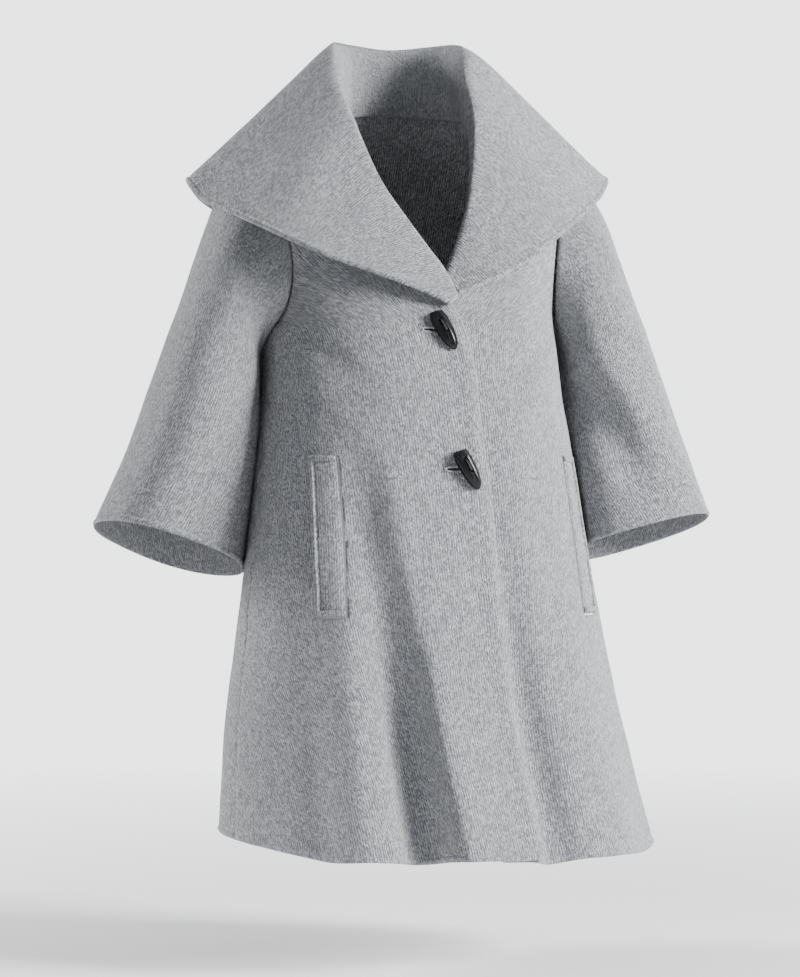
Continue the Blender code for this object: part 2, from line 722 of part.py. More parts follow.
def collar_grid(grids, normals):
    """The middle surface of the collar: rows round the neckline, columns from seam to edge."""
    front = front_rows()
    halves = [neckline_half(side, grids, normals, front) for side in ("right", "left")]
    places = np.concatenate([-halves[0][2][:0:-1], halves[1][2]])
    line = np.concatenate([halves[0][0][:0:-1], halves[1][0]])
    line_out = np.concatenate([halves[0][1][:0:-1], halves[1][1]])
    table = COLLAR_RIGHT[:0:-1] + COLLAR_LEFT
    knots = np.arange(len(table)) - (len(COLLAR_RIGHT) - 1)
    at = halved_steps(places[(places >= knots[0]) & (places <= knots[-1])])
    seam = np.stack([np.interp(at, places, line[:, k]) for k in range(3)], axis=1)
    out = np.stack([np.interp(at, places, line_out[:, k]) for k in range(3)], axis=1)
    out = unit(softened(out))
    along = unit(softened(np.gradient(seam, axis=0)))
    away = unit(np.cross(out, along))
    roll, edge, turn = (spline(knots, column(table, COLLAR_COLUMNS, n), at) for n in COLLAR_COLUMNS)
    if np.dot(away[len(at) // 2], (0, 0, 1)) < 0:
        away = -away
    rows = []
    seated = COLLAR_SEATED + COLLAR_SHOULDER_EASE * np.exp(-(((np.abs(at) - 2.6) / 0.9) ** 2))
    for i in range(len(at)):
        near_end = smoothstep(6.3, 8.0, abs(at[i]))
        start = seam[i] - away[i] * COLLAR_LAP - out[i] * seated[i]
        rise = np.linalg.norm(roll[i] - seam[i])
        up = unit(roll[i] - seam[i])
        fall = edge[i] - roll[i]
        beyond = fall - along[i] * np.dot(fall, along[i])
        beyond = unit(beyond - up * np.dot(beyond, up))
        beyond = unit(beyond * (1 - near_end) + out[i] * near_end)
        past_edge = seam[i] + away[i] * COLLAR_PAST_EDGE - out[i] * seated[i]
        inner = bezier(
            past_edge,
            past_edge + away[i] * 0.32 * rise,
            roll[i] - beyond * 0.55 * turn[i],
            roll[i],
            COLLAR_STAND_SHARES,
        )
        outer = bezier(
            roll[i],
            roll[i] + beyond * turn[i],
            edge[i] - fall * 0.55,
            edge[i],
            np.linspace(0, 1, COLLAR_FALL_STEPS + 1) ** 1.25,
        )
        rows.append(np.concatenate([start[None], inner, outer[1:]]))
    return np.array(rows), seated


def kept_off(point, tree, distance, exactly):
    """The point moved straight away from the nearest surface to the given distance."""
    found, _, _, near = tree.find_nearest(Vector(point), 0.02)
    if found is None or (near >= distance and not exactly):
        return point
    found = np.array(found)
    return found + unit(point - found) * distance


def settled_collar(rows, seated, tree):
    """The seam seated inside the neckline, and the fall lifted clear of what lies under it."""
    rows = rows.copy()
    for i in range(rows.shape[0]):
        for j in range(len(COLLAR_STAND_SHARES) + 1):
            rows[i, j] = kept_off(rows[i, j], tree, seated[i], exactly=j < 2)
    first = len(COLLAR_STAND_SHARES) + 2
    ways = np.array([[fall_direction(point) for point in row] for row in rows])
    fine = halved_steps(halved_steps(rows).swapaxes(0, 1)).swapaxes(0, 1)
    lift = np.zeros(fine.shape[:2])
    for i in range(fine.shape[0]):
        for j in range(2 * first - 1, fine.shape[1]):
            way = fall_direction(fine[i, j])
            lift[i, j] = lift_needed(fine[i, j], way, tree, COLLAR_OVER_CLOTH, 0.12)
    padded = np.pad(lift, 1)
    around = [padded[a:, b:][: lift.shape[0], : lift.shape[1]] for a in range(3) for b in range(3)]
    lift = np.max(around, axis=0)[::2, ::2]
    spread = softened(softened(lift, 2).T, 2).T
    spread[:, :first] = 0
    return rows + ways * np.maximum(lift, spread)[..., None]


def fall_direction(point):
    """The way out of the body at a point of the collar: forward on the chest, up on the shoulder."""
    x, y, z = point
    away = np.array((0.55 * x, y - 0.005, 0.0))
    level = unit(away)
    steep = smoothstep(0.10, 0.20, abs(x)) * (1 - smoothstep(0.05, 0.11, abs(y)))
    return unit(level * (1 - 0.75 * steep) + np.array((0.35 * np.sign(x), 0, 1.0)) * steep)


def front_point(side, grids, normals, angle, height):
    """The point and normal of a front panel at an angle round the body and a height."""
    grid, normal = grids[side], normals[side]
    row_heights = grid[ROWS_ABOVE_UNDERARM:, 0, 2]
    at = np.interp(-height, -row_heights, np.arange(len(row_heights))) + ROWS_ABOVE_UNDERARM
    low = min(int(at), len(grid) - 2)
    share = at - low
    row = grid[low] * (1 - share) + grid[low + 1] * share
    row_normal = unit(normal[low] * (1 - share) + normal[low + 1] * share)
    twist = float(twist_at([height])[0])
    side_y = float(body_value("back", [height])[0] - body_value("front", [height])[0]) / 2
    c, s = math.cos(-twist), math.sin(-twist)
    from_axis = row[:, 0] - float(body_value("sway", [height])[0])
    x = from_axis * c - row[:, 1] * s
    y = from_axis * s + row[:, 1] * c
    angles = np.degrees(np.arctan2(x, -(y - side_y)))
    order = np.argsort(angles)
    point = [np.interp(angle, angles[order], row[order, k]) for k in range(3)]
    out = [np.interp(angle, angles[order], row_normal[order, k]) for k in range(3)]
    return np.array(point), unit(np.array(out))


def pocket_mesh(side, top_angle, foot_angle, grids, normals):
    """A welt on the front: its points are the front's own points, moved out."""
    span = abs(POCKET_FOOT - POCKET_TOP)
    radius = float(body_value("half_width", [(POCKET_TOP + POCKET_FOOT) / 2])[0])
    half_angle = math.degrees(POCKET_WIDTH / 2 / radius)
    edge = WELT_BINDING_WIDTH / POCKET_WIDTH
    end = WELT_BINDING_WIDTH / span
    across = [0, edge, edge + 0.012, 0.5, 1 - edge / 2, 1]
    middle = np.linspace(end + 0.003, 1 - end - 0.003, WELT_ROWS - 3)
    down = np.concatenate([[0, end], middle, [1 - end, 1]])
    toward_front = 1 if side == "right" else -1
    outer, inner = [], []
    for v in down:
        height = POCKET_TOP + (POCKET_FOOT - POCKET_TOP) * v
        angle = top_angle + (foot_angle - top_angle) * v
        outer_row, inner_row = [], []
        for u in across:
            where = angle + toward_front * half_angle * (2 * u - 1)
            point, out = front_point(side, grids, normals, where, height)
            bound = u <= edge or v <= end or v >= 1 - end
            rise = WELT_BINDING_RISE if bound else 0.0
            base = CLOTH / 2 + WELT_SEAT
            inner_row.append(point + out * base)
            outer_row.append(point + out * (base + WELT_CLOTH + rise))
        outer.append(outer_row)
        inner.append(inner_row)
    return cloth_wall("pocket_welt_" + side, np.array(outer), np.array(inner))


def placed(point, out, lean):
    """A matrix that puts local Z along out and local Y down the leaning toggle."""
    out = Vector(out).normalized()
    down = Vector((0, 0, -1))
    down = (down - out * down.dot(out)).normalized()
    across = out.cross(down)
    lean = math.radians(lean)
    y_axis = down * math.cos(lean) - across * math.sin(lean)
    x_axis = y_axis.cross(out)
    matrix = Matrix((x_axis, y_axis, out)).transposed().to_4x4()
    matrix.translation = Vector(point)
    return matrix


def toggle_mesh():
    """A flat-backed horn toggle along local Y, with two sewing holes through it."""
    rings = []
    for k in range(TOGGLE_SECTIONS):
        v = k / (TOGGLE_SECTIONS - 1)
        y = TOGGLE_LENGTH * (v - TOGGLE_CENTRE)
        past_start = max(0.0, (v - TOGGLE_TAPER_START) / (1 - TOGGLE_TAPER_START))
        taper = math.sqrt(max(0.0, 1 - past_start**TOGGLE_TAPER_POWER))
        full = min(1.0, v / TOGGLE_TOP_ROUNDING)
        width = max(TOGGLE_TIP_WIDTH, taper) * (TOGGLE_TOP_WIDTH + (1 - TOGGLE_TOP_WIDTH) * full)
        depth = max(TOGGLE_TIP_DEPTH, taper) * (TOGGLE_TOP_DEPTH + (1 - TOGGLE_TOP_DEPTH) * full)
        ring = []
        for j in range(TOGGLE_SIDES):
            a = 2 * math.pi * j / TOGGLE_SIDES
            across = math.copysign(abs(math.cos(a)) ** 0.8, math.cos(a))
            out = 0.5 + 0.5 * math.copysign(abs(math.sin(a)) ** 0.7, math.sin(a))
            x = TOGGLE_WIDTH / 2 * width * across
            z = TOGGLE_DEPTH * depth * out
            skew = TOGGLE_SKEW * (1 - v) * across * depth * out
            ring.append((x, y - skew, z))
        rings.append(ring)
    mesh = bpy.data.meshes.new("toggle")
    work = bmesh.new()
    made = [[work.verts.new(p) for p in ring] for ring in rings]
    for low, high in zip(made, made[1:]):
        for j in range(TOGGLE_SIDES):
            n = (j + 1) % TOGGLE_SIDES
            work.faces.new((low[j], low[n], high[n], high[j]))
    work.faces.new(made[0])
    work.faces.new(made[-1])
    bmesh.ops.recalc_face_normals(work, faces=work.faces)
    work.to_mesh(mesh)
    work.free()
    return mesh


def cutter(name, mesh, matrix):
    """A hidden helper that a Boolean subtracts."""
    made = bpy.data.objects.new(name, mesh)
    bpy.context.scene.collection.objects.link(made)
    made.matrix_world = matrix
    made.hide_render = True
    made.display_type = "WIRE"
    return made


def cut(target, tool):
    """Subtracts tool from target."""
    modifier = target.modifiers.new("cut_" + tool.name, "BOOLEAN")
    modifier.operation = "DIFFERENCE"
    modifier.solver = "EXACT"
    modifier.object = tool


def rod_mesh(name, radius, low, high, sides=10):
    """A round rod along local Z between two heights."""
    mesh = bpy.data.meshes.new(name)
    work = bmesh.new()
    bmesh.ops.create_cone(
        work, cap_ends=True, segments=sides, radius1=radius, radius2=radius, depth=high - low
    )
    bmesh.ops.translate(work, verts=work.verts, vec=(0, 0, (low + high) / 2))
    work.to_mesh(mesh)
    work.free()
    return mesh


def box_mesh(name, size):
    """A box of the given size about its own centre."""
    mesh = bpy.data.meshes.new(name)
    work = bmesh.new()
    bmesh.ops.create_cube(work, size=1.0)
    bmesh.ops.scale(work, verts=work.verts, vec=size)
    work.to_mesh(mesh)
    work.free()
    return mesh


def add_fastening(name, angle, height, grids, normals, right_front, finishes, parent):
    """One toggle, its sewn shank and the slit that it passes through."""
    point, out = front_point("right", grids, normals, angle, height)
    under, _ = front_point("left", grids, normals, angle, height)
    face = point + out * (CLOTH / 2)
    back = face + out * TOGGLE_STANDOFF
    toggle = add_object("toggle_" + name, toggle_mesh(), finishes["horn"], parent)
    toggle.matrix_world = placed(back, out, TOGGLE_LEAN)
    for k, place in enumerate((-0.5, 0.5)):
        at = toggle.matrix_world @ Vector((0, TOGGLE_HOLE_SPACING * place - TOGGLE_HOLES_UP, 0))
        tool_mesh = rod_mesh("hole", TOGGLE_HOLE_RADIUS, -0.004, TOGGLE_DEPTH + 0.004)
        where = placed(at, out, TOGGLE_LEAN)
        cut(toggle, cutter(f"hole_{name}_{k}", tool_mesh, where))
    depth = np.dot(face - under, out)
    low = -(depth - CLOTH / 2) + 2 * SEAM_GAP
    shank_mesh = rod_mesh("shank_" + name, SHANK_RADIUS, low, TOGGLE_STANDOFF - SEAM_GAP)
    shank = add_object("shank_" + name, shank_mesh, finishes["thread"], parent)
    shank.matrix_world = placed(face, out, 0.0)
    slit = box_mesh("slit", (SLIT_LENGTH, SLIT_WIDTH, 0.020))
    frame = placed(point, out, 0.0)
    toward_edge = frame.inverted().to_3x3() @ Vector((1, 0, 0))
    shift = math.copysign(SLIT_LENGTH / 2 - SLIT_BEYOND_SHANK, -toward_edge.x)
    frame = frame @ Matrix.Translation((shift, 0, 0))
    cut(right_front, cutter("slit_" + name, slit, frame))


def build():
    """Models the whole coat."""
    for thing in list(bpy.data.objects):
        bpy.data.objects.remove(thing)
    finishes = {
        "wool": material("melange_wool", WOOL, 0.92),
        "horn": material("dark_horn", HORN, 0.28),
        "thread": material("dark_thread", THREAD, 0.85),
    }
    coat = bpy.data.objects.new("coat", None)
    bpy.context.scene.collection.objects.link(coat)
    wool = finishes["wool"]

    grids, normals = body_grids()
    fronts = {}
    for side in ("right", "left"):
        points = pulled_in(grids[side], SEAM_GAP / 2)
        mesh = wall_of("front_" + side, points, normals[side], CLOTH)
        fronts[side] = add_object("front_" + side, mesh, wool, coat)
    points = pulled_in(grids["back"], SEAM_GAP / 2)
    add_object("back", wall_of("back", points, normals["back"], CLOTH), wool, coat)

    body_tree = tree_of(grids["right"], grids["left"], grids["back"])
    sleeves = {}
    for side in ("right", "left"):
        rings = settled_sleeve(sleeve_grid(side, grids, normals), side, body_tree)
        sleeves[side] = np.concatenate([rings, rings[:, :1]], axis=1)
        mesh = wall_of("sleeve_" + side, rings, tube_normals(rings), CLOTH, closed=True)
        add_object("sleeve_" + side, mesh, wool, coat)

    under = tree_of(grids["left"], grids["right"], grids["back"], sleeves["left"], sleeves["right"])
    rows = settled_collar(*collar_grid(grids, normals), under)
    mesh = wall_of("collar", rows, grid_normals(rows, (0, 0.5, 1)), COLLAR_CLOTH)
    add_object("collar", mesh, wool, coat)

    for side, top_angle, foot_angle in POCKETS:
        mesh = pocket_mesh(side, top_angle, foot_angle, grids, normals)
        add_object("pocket_welt_" + side, mesh, wool, coat)
    for name, angle, height in TOGGLES:
        add_fastening(name, angle, height, grids, normals, fronts["right"], finishes, coat)


build()
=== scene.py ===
"""An A-line coat of thick melange wool, dressed over its CAD frame.

Metres, +Z up, the coat faces -Y and +X is its own left. Each cloth piece is a thin shell on the
same form as its solid, with finer steps, shaped edges, creases and a cloth material.
"""

import math

import bmesh
import bpy
import numpy as np
from mathutils import Matrix, Vector, noise
from mathutils.bvhtree import BVHTree


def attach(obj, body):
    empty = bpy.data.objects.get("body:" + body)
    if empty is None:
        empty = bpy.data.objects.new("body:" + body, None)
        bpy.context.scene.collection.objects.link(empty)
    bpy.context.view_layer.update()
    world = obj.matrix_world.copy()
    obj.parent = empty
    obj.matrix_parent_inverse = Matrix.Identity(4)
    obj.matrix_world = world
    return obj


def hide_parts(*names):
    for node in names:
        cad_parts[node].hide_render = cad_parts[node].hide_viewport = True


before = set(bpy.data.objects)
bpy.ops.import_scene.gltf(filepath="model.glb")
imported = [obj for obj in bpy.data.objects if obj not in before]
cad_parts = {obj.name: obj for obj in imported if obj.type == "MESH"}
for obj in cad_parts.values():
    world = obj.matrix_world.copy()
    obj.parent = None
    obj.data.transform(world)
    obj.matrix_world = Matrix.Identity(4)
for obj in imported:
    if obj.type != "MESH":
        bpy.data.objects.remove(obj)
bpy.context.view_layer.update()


# The cloth: one thick melange wool for every panel, dark and light fibres spun together.
# Short floats of yarn and fine ribs run nearly straight down each panel, under a raised nap.

YARN_LENGTH = 0.0026
YARN_WIDTH = 0.0014
YARN_LEAN = 80.0
YARN_DISORDER = 0.72
HAIRS_PER_YARN = 2.6
RIB_PITCH = 0.0027
RIB_WAVES = 240.0
RIB_SWAY = 4.0
TONE_SHARE = 0.42
HAIR_SHARE = 0.34
RIB_SHARE = 0.24
CLOUDS = 60.0
NAP_RELIEF = 0.0012
DARK_FIBRE = (0.105, 0.111, 0.124, 1.0)
MIDDLE_FIBRE = (0.235, 0.244, 0.263, 1.0)
LIGHT_FIBRE = (0.385, 0.396, 0.418, 1.0)
PALE_FLECK = (0.640, 0.652, 0.675, 1.0)


def add_node(tree, kind, *inputs, **settings):
    """A node with its settings, and with links or values for its first inputs (None keeps one)."""
    made = tree.nodes.new("ShaderNode" + kind)
    for key, value in settings.items():
        setattr(made, key, value)
    for socket, given in zip(made.inputs, inputs):
        if isinstance(given, bpy.types.NodeSocket):
            tree.links.new(given, socket)
        elif given is not None:
            socket.default_value = given
    return made


def maths(tree, operation, *values):
    """The result of one Math node."""
    return add_node(tree, "Math", *values, operation=operation).outputs[0]


def in_range(tree, value, low, high, to_low, to_high):
    """A value moved from one range to another, and kept inside it."""
    return add_node(tree, "MapRange", value, low, high, to_low, to_high).outputs[0]


def mixed(tree, share, first, second):
    """Two colours mixed by share."""
    made = add_node(tree, "Mix", data_type="RGBA")
    for socket, given in ((made.inputs[0], share), (made.inputs[6], first), (made.inputs[7], second)):
        if isinstance(given, bpy.types.NodeSocket):
            tree.links.new(given, socket)
        else:
            socket.default_value = given
    return made.outputs[2]


def ramp(tree, value, *stops):
    """A colour ramp over the stops, each a place and a colour."""
    made = add_node(tree, "ValToRGB", value)
    elements = made.color_ramp.elements
    while len(elements) < len(stops):
        elements.new(0.5)
    for element, (place, colour) in zip(elements, stops):
        element.position = place
        element.color = colour
    return made.outputs[0]


def plain_material(name):
    """A new material, its node tree and its shader."""
    made = bpy.data.materials.new(name)
    made.use_nodes = True
    return made, made.node_tree, made.node_tree.nodes["Principled BSDF"]


def set_values(node, **values):
    """Sets inputs of a node that are named with spaces, given here with underscores."""
    for key, value in values.items():
        node.inputs[key.replace("_", " ")].default_value = value


def add_relief(tree, shader, height, strength, distance):
    """A bump from the height, feeding the shader's normal."""
    bump = add_node(tree, "Bump")
    set_values(bump, Strength=strength, Distance=distance)
    tree.links.new(height, bump.inputs["Height"])
    tree.links.new(bump.outputs["Normal"], shader.inputs["Normal"])


def melange_wool():
    """The cloth's colour, relief and roughness, from its flat map in metres."""
    made, tree, shader = plain_material("melange_wool")
    flat = add_node(tree, "UVMap", uv_map="cloth").outputs[0]

    # the weave runs nearly straight down each panel
    turned = add_node(tree, "VectorRotate", flat, rotation_type="Z_AXIS")
    set_values(turned, Angle=math.radians(YARN_LEAN))
    pitch = (1 / YARN_LENGTH, 1 / YARN_WIDTH, 1.0)
    laid = add_node(tree, "VectorMath", turned.outputs[0], pitch, operation="MULTIPLY").outputs[0]

    # each short float of yarn has a tone of its own, crossed by fibres finer than a yarn
    floats = add_node(tree, "TexVoronoi", laid, voronoi_dimensions="2D")
    set_values(floats, Scale=1.0, Randomness=YARN_DISORDER)
    tone = add_node(tree, "SeparateColor", floats.outputs["Color"]).outputs[0]
    hair = add_node(tree, "TexNoise", laid, noise_dimensions="2D")
    set_values(hair, Scale=HAIRS_PER_YARN, Detail=3.0, Roughness=0.70)
    strand = in_range(tree, hair.outputs[0], 0.34, 0.66, 0.0, 1.0)

    # fine ribs of the weave, a little wavy
    wave = add_node(tree, "TexNoise", flat, noise_dimensions="2D")
    set_values(wave, Scale=RIB_WAVES)
    sway = maths(tree, "MULTIPLY", wave.outputs[0], RIB_SWAY)
    across = add_node(tree, "SeparateXYZ", flat).outputs[0]
    phase = maths(tree, "MULTIPLY_ADD", across, 2 * math.pi / RIB_PITCH, sway)
    rib = in_range(tree, maths(tree, "SINE", phase), -1.0, 1.0, 0.0, 1.0)

    blend = maths(tree, "MULTIPLY", tone, TONE_SHARE)
    blend = maths(tree, "MULTIPLY_ADD", strand, HAIR_SHARE, blend)
    blend = maths(tree, "MULTIPLY_ADD", rib, RIB_SHARE, blend)
    colour = ramp(
        tree,
        blend,
        (0.20, DARK_FIBRE),
        (0.44, MIDDLE_FIBRE),
        (0.60, LIGHT_FIBRE),
        (0.80, PALE_FLECK),
    )

    # the spinning is a little uneven over a finger's width
    cloud = add_node(tree, "TexNoise", flat, noise_dimensions="2D")
    set_values(cloud, Scale=CLOUDS, Detail=3.0)
    level = in_range(tree, cloud.outputs[0], 0.3, 0.7, 0.95, 1.05)
    tinted = add_node(tree, "VectorMath", colour, operation="SCALE")
    tree.links.new(level, tinted.inputs["Scale"])
    tree.links.new(tinted.outputs[0], shader.inputs["Base Color"])

    # relief: rounded yarns under a fuzzy nap
    round_yarn = in_range(tree, floats.outputs["Distance"], 0.0, 0.66, 1.0, 0.0)
    nap = maths(tree, "MULTIPLY_ADD", strand, 0.50, round_yarn)
    add_relief(tree, shader, maths(tree, "MULTIPLY_ADD", rib, 0.70, nap), 1.0, NAP_RELIEF)
    rough = in_range(tree, strand, 0.0, 1.0, 0.82, 0.96)
    tree.links.new(rough, shader.inputs["Roughness"])
    set_values(shader, Sheen_Weight=0.35, Sheen_Roughness=0.55, Specular_IOR_Level=0.25)
    return made


wool = melange_wool()


# Body: a back and two fronts, each cut in one piece and sewn at the shoulders and sides.
# The skirt flares into soft folds, and the right front laps over the left one.

CLOTH = 0.0030
SEAM_GAP = 0.0003

# How far each front reaches past the centre line, and how deep the left one lies under the right:
# deeper at the collar, growing between the two heights of UNDERLAP_TO_COLLAR
HALF_STAND = 0.027
HALF_STAND_AT_UNDERARM = 0.0226
UNDERLAP_DEPTH = 0.0046
UNDERLAP_DEPTH_AT_COLLAR = 0.0110
UNDERLAP_FADE = 0.075
UNDERLAP_TO_COLLAR = (-0.300, -0.225)

# The armhole runs from the shoulder tip to the underarm, and bows inward between them
SHOULDER_TIP = (0.188, 0.010, -0.050)
UNDERARM = (0.164, -0.012, -0.238)
ARMHOLE_FRONT_DEPTH = 0.072
ARMHOLE_BACK_DEPTH = 0.084
ARMHOLE_FRONT_BOW = 0.018
ARMHOLE_BACK_BOW = 0.004

# Rows and columns of the coarse grids, which the CAD solids have too
ROWS_ABOVE_UNDERARM = 11
ROWS_BELOW_UNDERARM = 13
FRONT_COLUMNS = 15
BACK_HALF_COLUMNS = 11
NECK_COLUMNS = 4

# A quarter of a section is one curve, whose handles are this share of its width and its depth
QUARTER = 0.56

# Rows of the fronts above the underarm: the angle round the armhole where each ends, and its turn
FRONT_ROWS = (
    (0.0, 4.0),
    (30.0, 12.0),
    (60.0, 28.0),
    (90.0, 46.0),
    (118.0, 60.0),
    (142.0, 74.0),
    (162.0, 84.0),
)
# The same for the back, after the depth and the height where each row leaves the centre
BACK_ROWS = (
    (0.090, -0.028, 34.0, 10.0),
    (0.108, -0.074, 64.0, 26.0),
    (0.119, -0.122, 94.0, 46.0),
    (0.124, -0.166, 122.0, 64.0),
    (0.125, -0.206, 150.0, 80.0),
)
SHOULDER_SEAM_TURN = 4.0
ROW_LEAVES_STRAIGHT = 0.43
ROW_ARRIVES_STRAIGHT = 0.36

# Sections of the body, from the underarm to the hem
BODY_COLUMNS = ("height", "half_width", "front", "back", "sway")
BODY = (
    (-0.238, 0.164, 0.147, 0.123, 0.0),
    (-0.300, 0.167, 0.163, 0.122, 0.001),
    (-0.400, 0.180, 0.178, 0.118, 0.002),
    (-0.515, 0.1985, 0.191, 0.115, 0.0015),
    (-0.650, 0.2220, 0.213, 0.118, 0.0035),
    (-0.805, 0.2460, 0.262, 0.123, 0.0105),
)

# The coat is turned about the vertical: by how many degrees at each height
TWIST_COLUMNS = ("height", "turn")
TWIST = (
    (-0.020, 0.0),
    (-0.060, 1.2),
    (-0.120, 4.0),
    (-0.180, 5.8),
    (-0.238, 5.5),
    (-0.300, 6.5),
    (-0.400, 9.3),
    (-0.515, 11.5),
    (-0.650, 13.3),
    (-0.805, 14.3),
)

# The hem is uneven: how far it is lifted at an angle round the body
HEM_COLUMNS = ("angle", "lift")
HEM = (
    (-180.0, 0.0020),
    (-150.0, 0.0060),
    (-125.0, 0.0140),
    (-103.0, 0.0200),
    (-90.0, 0.0160),
    (-79.0, 0.0122),
    (-69.0, 0.0074),
    (-58.0, 0.0008),
    (-49.0, -0.0010),
    (-40.0, 0.0016),
    (-32.0, 0.0072),
    (-25.0, 0.0062),
    (-17.5, -0.0006),
    (-8.0, -0.0008),
    (18.0, -0.0003),
    (33.0, -0.0042),
    (52.0, -0.0034),
    (75.0, -0.0030),
    (110.0, -0.0010),
    (150.0, 0.0),
    (180.0, 0.0020),
)
HEM_LIFT_START = -0.600

# Soft folds: where each is round the body (0 is the front, + is the coat's left), how wide on
# its right and its left, the height where it starts, and how far it stands out (+) or sinks in (-)
FOLD_COLUMNS = ("angle", "right_width", "left_width", "start", "depth")
FOLDS = (
    (-27.0, 12.0, 6.5, -0.33, -0.023),
    (-46.0, 9.0, 9.0, -0.42, 0.008),
    (-9.0, 8.0, 10.0, -0.40, 0.006),
    (16.0, 7.0, 9.0, -0.40, -0.007),
    (37.0, 12.0, 12.0, -0.36, 0.008),
    (63.0, 10.0, 10.0, -0.50, -0.006),
    (-74.0, 9.0, 9.0, -0.50, -0.006),
    (-100.0, 10.0, 10.0, -0.45, 0.007),
    (104.0, 10.0, 10.0, -0.45, 0.008),
    (128.0, 9.0, 9.0, -0.40, -0.011),
    (150.0, 10.0, 10.0, -0.34, 0.010),
    (176.0, 10.0, 10.0, -0.36, -0.013),
    (-153.0, 10.0, 10.0, -0.32, 0.011),
    (-128.0, 9.0, 9.0, -0.42, -0.010),
)

# Neckline of the left front and half back, from the centre back to the top of the front edge
NECKLINE = (
    (0.000, 0.066, 0.016),
    (0.046, 0.050, 0.012),
    (0.072, 0.024, 0.006),
    (0.079, 0.002, 0.002),
    (0.080, -0.028, -0.020),
    (0.075, -0.062, -0.056),
    (0.063, -0.093, -0.098),
    (0.041, -0.116, -0.146),
    (0.008, -0.1325, -0.186),
    (-0.005, -0.137, -0.205),
)
SHOULDER_POINT = 3

# Small creases in the worn cloth: seen from the front (-1) or from behind (1), from one place to
# another in x and z, how wide, and how far out (+) or in (-)
CREASE_COLUMNS = ("facing", "x0", "z0", "x1", "z1", "width", "depth")
BODY_CREASES = (
    (-1, 0.150, -0.235, 0.060, -0.300, 0.012, -0.0026),
    (-1, 0.155, -0.262, 0.085, -0.352, 0.014, 0.0024),
    (-1, -0.150, -0.240, -0.075, -0.292, 0.012, -0.0024),
    (-1, -0.148, -0.275, -0.085, -0.345, 0.013, 0.0020),
    (-1, 0.040, -0.250, 0.075, -0.420, 0.016, -0.0022),
    (-1, 0.012, -0.300, 0.060, -0.560, 0.015, 0.0024),
    (-1, -0.045, -0.330, -0.120, -0.560, 0.020, -0.0020),
    (-1, 0.110, -0.420, 0.155, -0.740, 0.018, -0.0030),
    (-1, -0.020, -0.560, 0.000, -0.800, 0.014, 0.0022),
    (-1, 0.190, -0.560, 0.215, -0.800, 0.012, 0.0026),
    (-1, -0.088, -0.385, 0.012, -1.100, 0.023, -0.0170),
    (-1, -0.055, -0.385, 0.068, -1.100, 0.021, 0.0140),
    (-1, -0.112, -0.440, -0.085, -1.050, 0.022, 0.0040),
    (-1, -0.150, -0.500, -0.135, -1.050, 0.020, -0.0060),
    (-1, 0.150, -0.540, 0.225, -1.050, 0.024, 0.0040),
    (1, 0.030, -0.300, 0.055, -1.050, 0.024, -0.0140),
    (1, -0.075, -0.360, -0.115, -1.050, 0.026, -0.0130),
    (1, 0.125, -0.420, 0.175, -1.050, 0.022, -0.0110),
    (1, -0.020, -0.380, -0.030, -1.050, 0.022, 0.0090),
    (1, 0.085, -0.400, 0.110, -1.050, 0.022, 0.0090),
    (1, -0.135, -0.420, -0.170, -1.050, 0.020, 0.0075),
    (1, 0.120, -0.150, 0.030, -0.220, 0.014, -0.0026),
    (1, -0.110, -0.160, -0.020, -0.235, 0.015, -0.0024),
    (1, 0.145, -0.240, 0.060, -0.330, 0.015, 0.0024),
    (1, -0.145, -0.250, -0.050, -0.345, 0.014, 0.0022),
    (1, 0.030, -0.300, 0.055, -0.620, 0.018, -0.0030),
    (1, -0.075, -0.380, -0.110, -0.780, 0.020, 0.0030),
    (1, 0.125, -0.460, 0.165, -0.800, 0.016, -0.0028),
)

# The left front dips where it goes under the right one
UNDERLAP_CREASES = (
    (-1, 0.036, -0.250, 0.152, -1.060, 0.013, -0.0075),
    (-1, 0.080, -0.540, 0.152, -1.060, 0.024, -0.0085),
    (-1, 0.078, -0.300, 0.192, -1.060, 0.020, 0.0040),
)


def softened(values, passes=3):
    """The values with each one averaged with its neighbours."""
    for _ in range(passes):
        values = np.concatenate(
            [values[:1], (values[:-2] + 2 * values[1:-1] + values[2:]) / 4, values[-1:]]
        )
    return values


def column(table, columns, name):
    """One named column of a table."""
    at = columns.index(name)
    return [row[at] for row in table]


def spline(knots, values, at):
    """A smooth curve through values at knots, read at the given places. The knots rise."""
    knots = np.asarray(knots, float)
    values = np.asarray(values, float)
    at = np.clip(np.asarray(at, float), knots[0], knots[-1])
    flat = values.reshape(len(knots), -1)
    slope = np.gradient(flat, knots, axis=0)
    i = np.clip(np.searchsorted(knots, at, side="right") - 1, 0, len(knots) - 2)
    span = (knots[i + 1] - knots[i])[:, None]
    u = (at - knots[i])[:, None] / span
    made = (
        (1 + 2 * u) * (1 - u) ** 2 * flat[i]
        + u * (1 - u) ** 2 * span * slope[i]
        + u * u * (3 - 2 * u) * flat[i + 1]
        + u * u * (u - 1) * span * slope[i + 1]
    )
    return made.reshape((len(at),) + values.shape[1:])


def smoothstep(low, high, value):
    """0 below low, 1 above high, and a soft rise between them."""
    u = np.clip((np.asarray(value, float) - low) / (high - low), 0.0, 1.0)
    return u * u * (3 - 2 * u)


def band(values, middle, width):
    """1 at the middle of a soft band of values, and 0 away from it."""
    return np.exp(-(((values - middle) / width) ** 2))


def unit(vectors):
    """Each vector with length 1."""
    length = np.linalg.norm(vectors, axis=-1, keepdims=True)
    return vectors / np.maximum(length, 1e-12)


